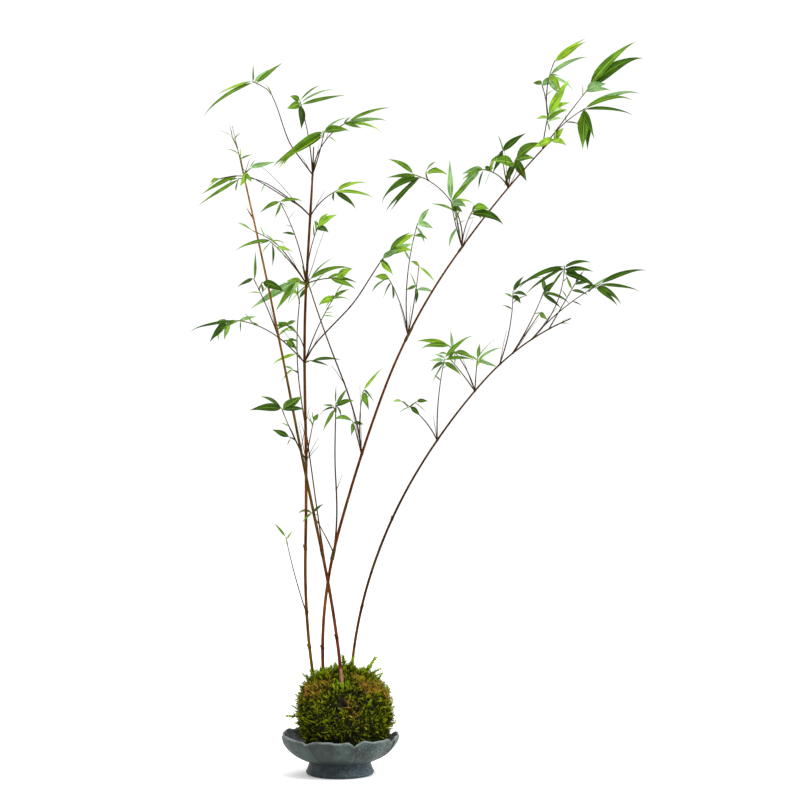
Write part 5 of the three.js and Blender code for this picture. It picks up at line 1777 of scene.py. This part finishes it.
finish_piece("twigs", joined_tubes("twigs", twig_rows(), 6), TWIG_BARK, list(SPRAYS))
finish_piece("twig_sheaths", joined_tubes("twig_sheaths", sheath_rows(), 6), STRAW)

# %% [markdown]
# A few nodes of the canes still wear what is left of their sheaths: a tan wrap that tapers upwards and ends in a
# frayed point, and at the foot of the leaning cane a short stiff cone. At other nodes a bud waits, a brown
# pointed scale of a few millimetres that hugs the cane.

# %% Cane sheaths and buds
# The cane and the height of each sheath's foot in mm, its length, and how far it stands off the cane.
CANE_SHEATHS = (
    ("long_cane", 256, 18, 0.35), ("long_cane", 520, 20, 0.45), ("long_cane", 628, 12, 0.3),
    ("upright_cane", 369, 12, 0.3), ("upright_cane", 488, 14, 0.35), ("upright_cane", 714, 12, 0.35),
    ("leaning_cane", 264, 10, 0.3), ("arching_cane", 394, 9, 0.3),
)
# The rings of a cane's sheath: how far up it they are, and their radius against its own.
CANE_SHEATH_RINGS = ((0, 1.02), (0.04, 1.3), (0.3, 1.22), (0.65, 1.08), (0.85, 0.8), (1.0, 0.12))
# The stiff cone at the foot of the leaning cane: its foot and height in mm, then how far up it each ring is, and
# the radius there in mm.
CONE_FOOT, CONE_HEIGHT = 113, 22
CONE = ((0, 1.6), (0.03, 2.5), (0.2, 2.75), (0.5, 2.5), (0.8, 2.1), (1.0, 1.75))
# The cane and height of each bud, the side that it stands on, left (-1) or right (1), and its length.
BUDS = (
    ("upright_cane", 152, -1, 6), ("upright_cane", 193, 1, 4), ("upright_cane", 270, -1, 7),
    ("long_cane", 149, -1, 6), ("leaning_cane", 167, -1, 6), ("leaning_cane", 270, 1, 6),
    ("leaning_cane", 390, -1, 5), ("leaning_cane", 667, -1, 16), ("arching_cane", 198, 1, 4),
    ("arching_cane", 304, -1, 5), ("thin_cane", 190, 1, 4), ("thin_cane", 300, -1, 5),
)


def cane_at(name, height):
    """The point, heading and radius of a cane at a height."""
    limb = limbs[name]
    share = share_at_height(limb["points"], height)
    return (*curve_at(limb["points"], share), mix(*limb["radius"], share))


# From which share of its length on a sheath leaves its cane sideways, by how much of what it stands off, and from
# which it comes to the front, by how many mm.
SHEATH_ASIDE, SHEATH_FORWARD = (0.3, 1.6), (0.5, 0.3)


def cane_sheath(name, height, length, off):
    """The stations of a sheath: tight at its foot, then a little off the cane, then a point beside it."""
    rows = []
    (aside_from, aside_by), (forward_from, forward_by) = SHEATH_ASIDE, SHEATH_FORWARD
    for at, swell in CANE_SHEATH_RINGS:
        point, heading, radius = cane_at(name, height + length * at)
        aside = BACK.cross(heading).normalized() * off * smooth_step(aside_from, 1, at) * aside_by
        forward = BACK * forward_by * smooth_step(forward_from, 1, at)
        rows.append((point + aside - forward, heading, (radius + off / 2) * swell, 0.0))
    return rows


# How far up a bud each of its rings is, and the radius there in mm.
BUD_RINGS = ((0, 0.5), (0.2, 0.85), (0.5, 0.65), (0.8, 0.3), (1.0, 0.08))
# A bud's lean off its cane, its height above the node in mm, its foot as a share of the cane's radius, and its mark.
BUD_LEAN, BUD_ABOVE, BUD_FOOT, BUD_MARK = 0.35, 0.6, 0.7, 0.3


def bud(name, height, side, length):
    """The stations of a bud, which leaves its cane at a small angle."""
    point, heading, radius = cane_at(name, height + BUD_ABOVE)
    aside = BACK.cross(heading).normalized() * side
    way = (heading + aside * BUD_LEAN).normalized()
    start = point + aside * radius * BUD_FOOT
    return [(start + way * length * at, way, wide, BUD_MARK) for at, wide in BUD_RINGS]


rows = [cane_sheath(*row) for row in CANE_SHEATHS]
rows.append([(*cane_at("leaning_cane", CONE_FOOT + CONE_HEIGHT * at)[:2], wide, 0.0) for at, wide in CONE])
finish_piece("cane_sheaths", joined_tubes("cane_sheaths", rows, 10), WRAP)
rows = [bud(*row) for row in BUDS]
finish_piece("cane_buds", joined_tubes("cane_buds", rows, 8), BOUGH_BARK)

# %% [markdown]
# Not every twig carries leaves. Last year's fine ones stand bare at the nodes, straight and thin as wire.

# %% Bare twigs
# The limb and height of each, its lean, its length and its turn to the back.
BARE_TWIGS = (
    ("upright_cane", 377, 32, 30, 20), ("upright_cane", 377, -14, 46, 26), ("upright_cane", 377, 48, 22, -24),
    ("upright_cane", 494, -36, 46, -30), ("upright_cane", 494, 34, 40, -34),
    ("upright_cane", 589, -34, 62, 30), ("upright_cane", 589, 22, 66, -18),
    ("upright_cane", 671, -50, 80, -26), ("upright_cane", 671, 36, 34, -24),
    ("upright_cane", 721, -34, 30, 26), ("upright_cane", 721, 12, 40, 28), ("leaning_cane", 523, -20, 46, 30),
    ("leaning_cane", 390, -30, 34, 20), ("leaning_cane", 390, 14, 52, -24),
    ("leaning_cane", 667, -14, 26, 20), ("leaning_cane", 719, 26, 22, -24), ("long_cane", 383, -2, 84, 24),
    ("long_cane", 383, -14, 52, 34), ("long_cane", 527, -16, 40, 28), ("long_cane", 527, 6, 36, -30),
    ("long_cane", 634, -12, 66, 22), ("long_cane", 634, 24, 38, 30), ("long_cane", 706, -8, 48, -22),
    ("long_cane", 706, 30, 44, 26), ("arching_cane", 400, -10, 30, 20), ("arching_cane", 400, 40, 18, -20),
    ("arching_cane", 460, -24, 48, -24), ("arching_cane", 492, 14, 44, 22),
    ("arching_cane", 506, 40, 50, -22), ("arching_cane", 523, 44, 52, 24), ("thin_cane", 400, -24, 26, 20),
    ("straight_bough", 340, 24, 20, 20), ("crossing_bough", 470, -40, 26, -20),
)
BARE_TWIG_RADIUS = (0.5, 0.2)
BARE_TWIG_RINGS = 7
BARE_TWIG_STRIDES = 5
# The lean of a bare twig against its row's, at its foot, in its middle and at its tip.
BARE_TWIG_LEANS = (1, 0.8, 1.05)
rows = []
for limb, height, lean, length, turn in BARE_TWIGS:
    start = limbs[limb]["points"]
    root = curve_at(start, share_at_height(start, height))[0]
    points = walk(root, [lean * share for share in BARE_TWIG_LEANS], length, turn, BARE_TWIG_STRIDES)
    shares = [i / BARE_TWIG_RINGS for i in range(BARE_TWIG_RINGS + 1)]
    rows.append([(*curve_at(points, share), mix(*BARE_TWIG_RADIUS, share), 0.0) for share in shares])
finish_piece("bare_twigs", joined_tubes("bare_twigs", rows, 5), TWIG_BARK)
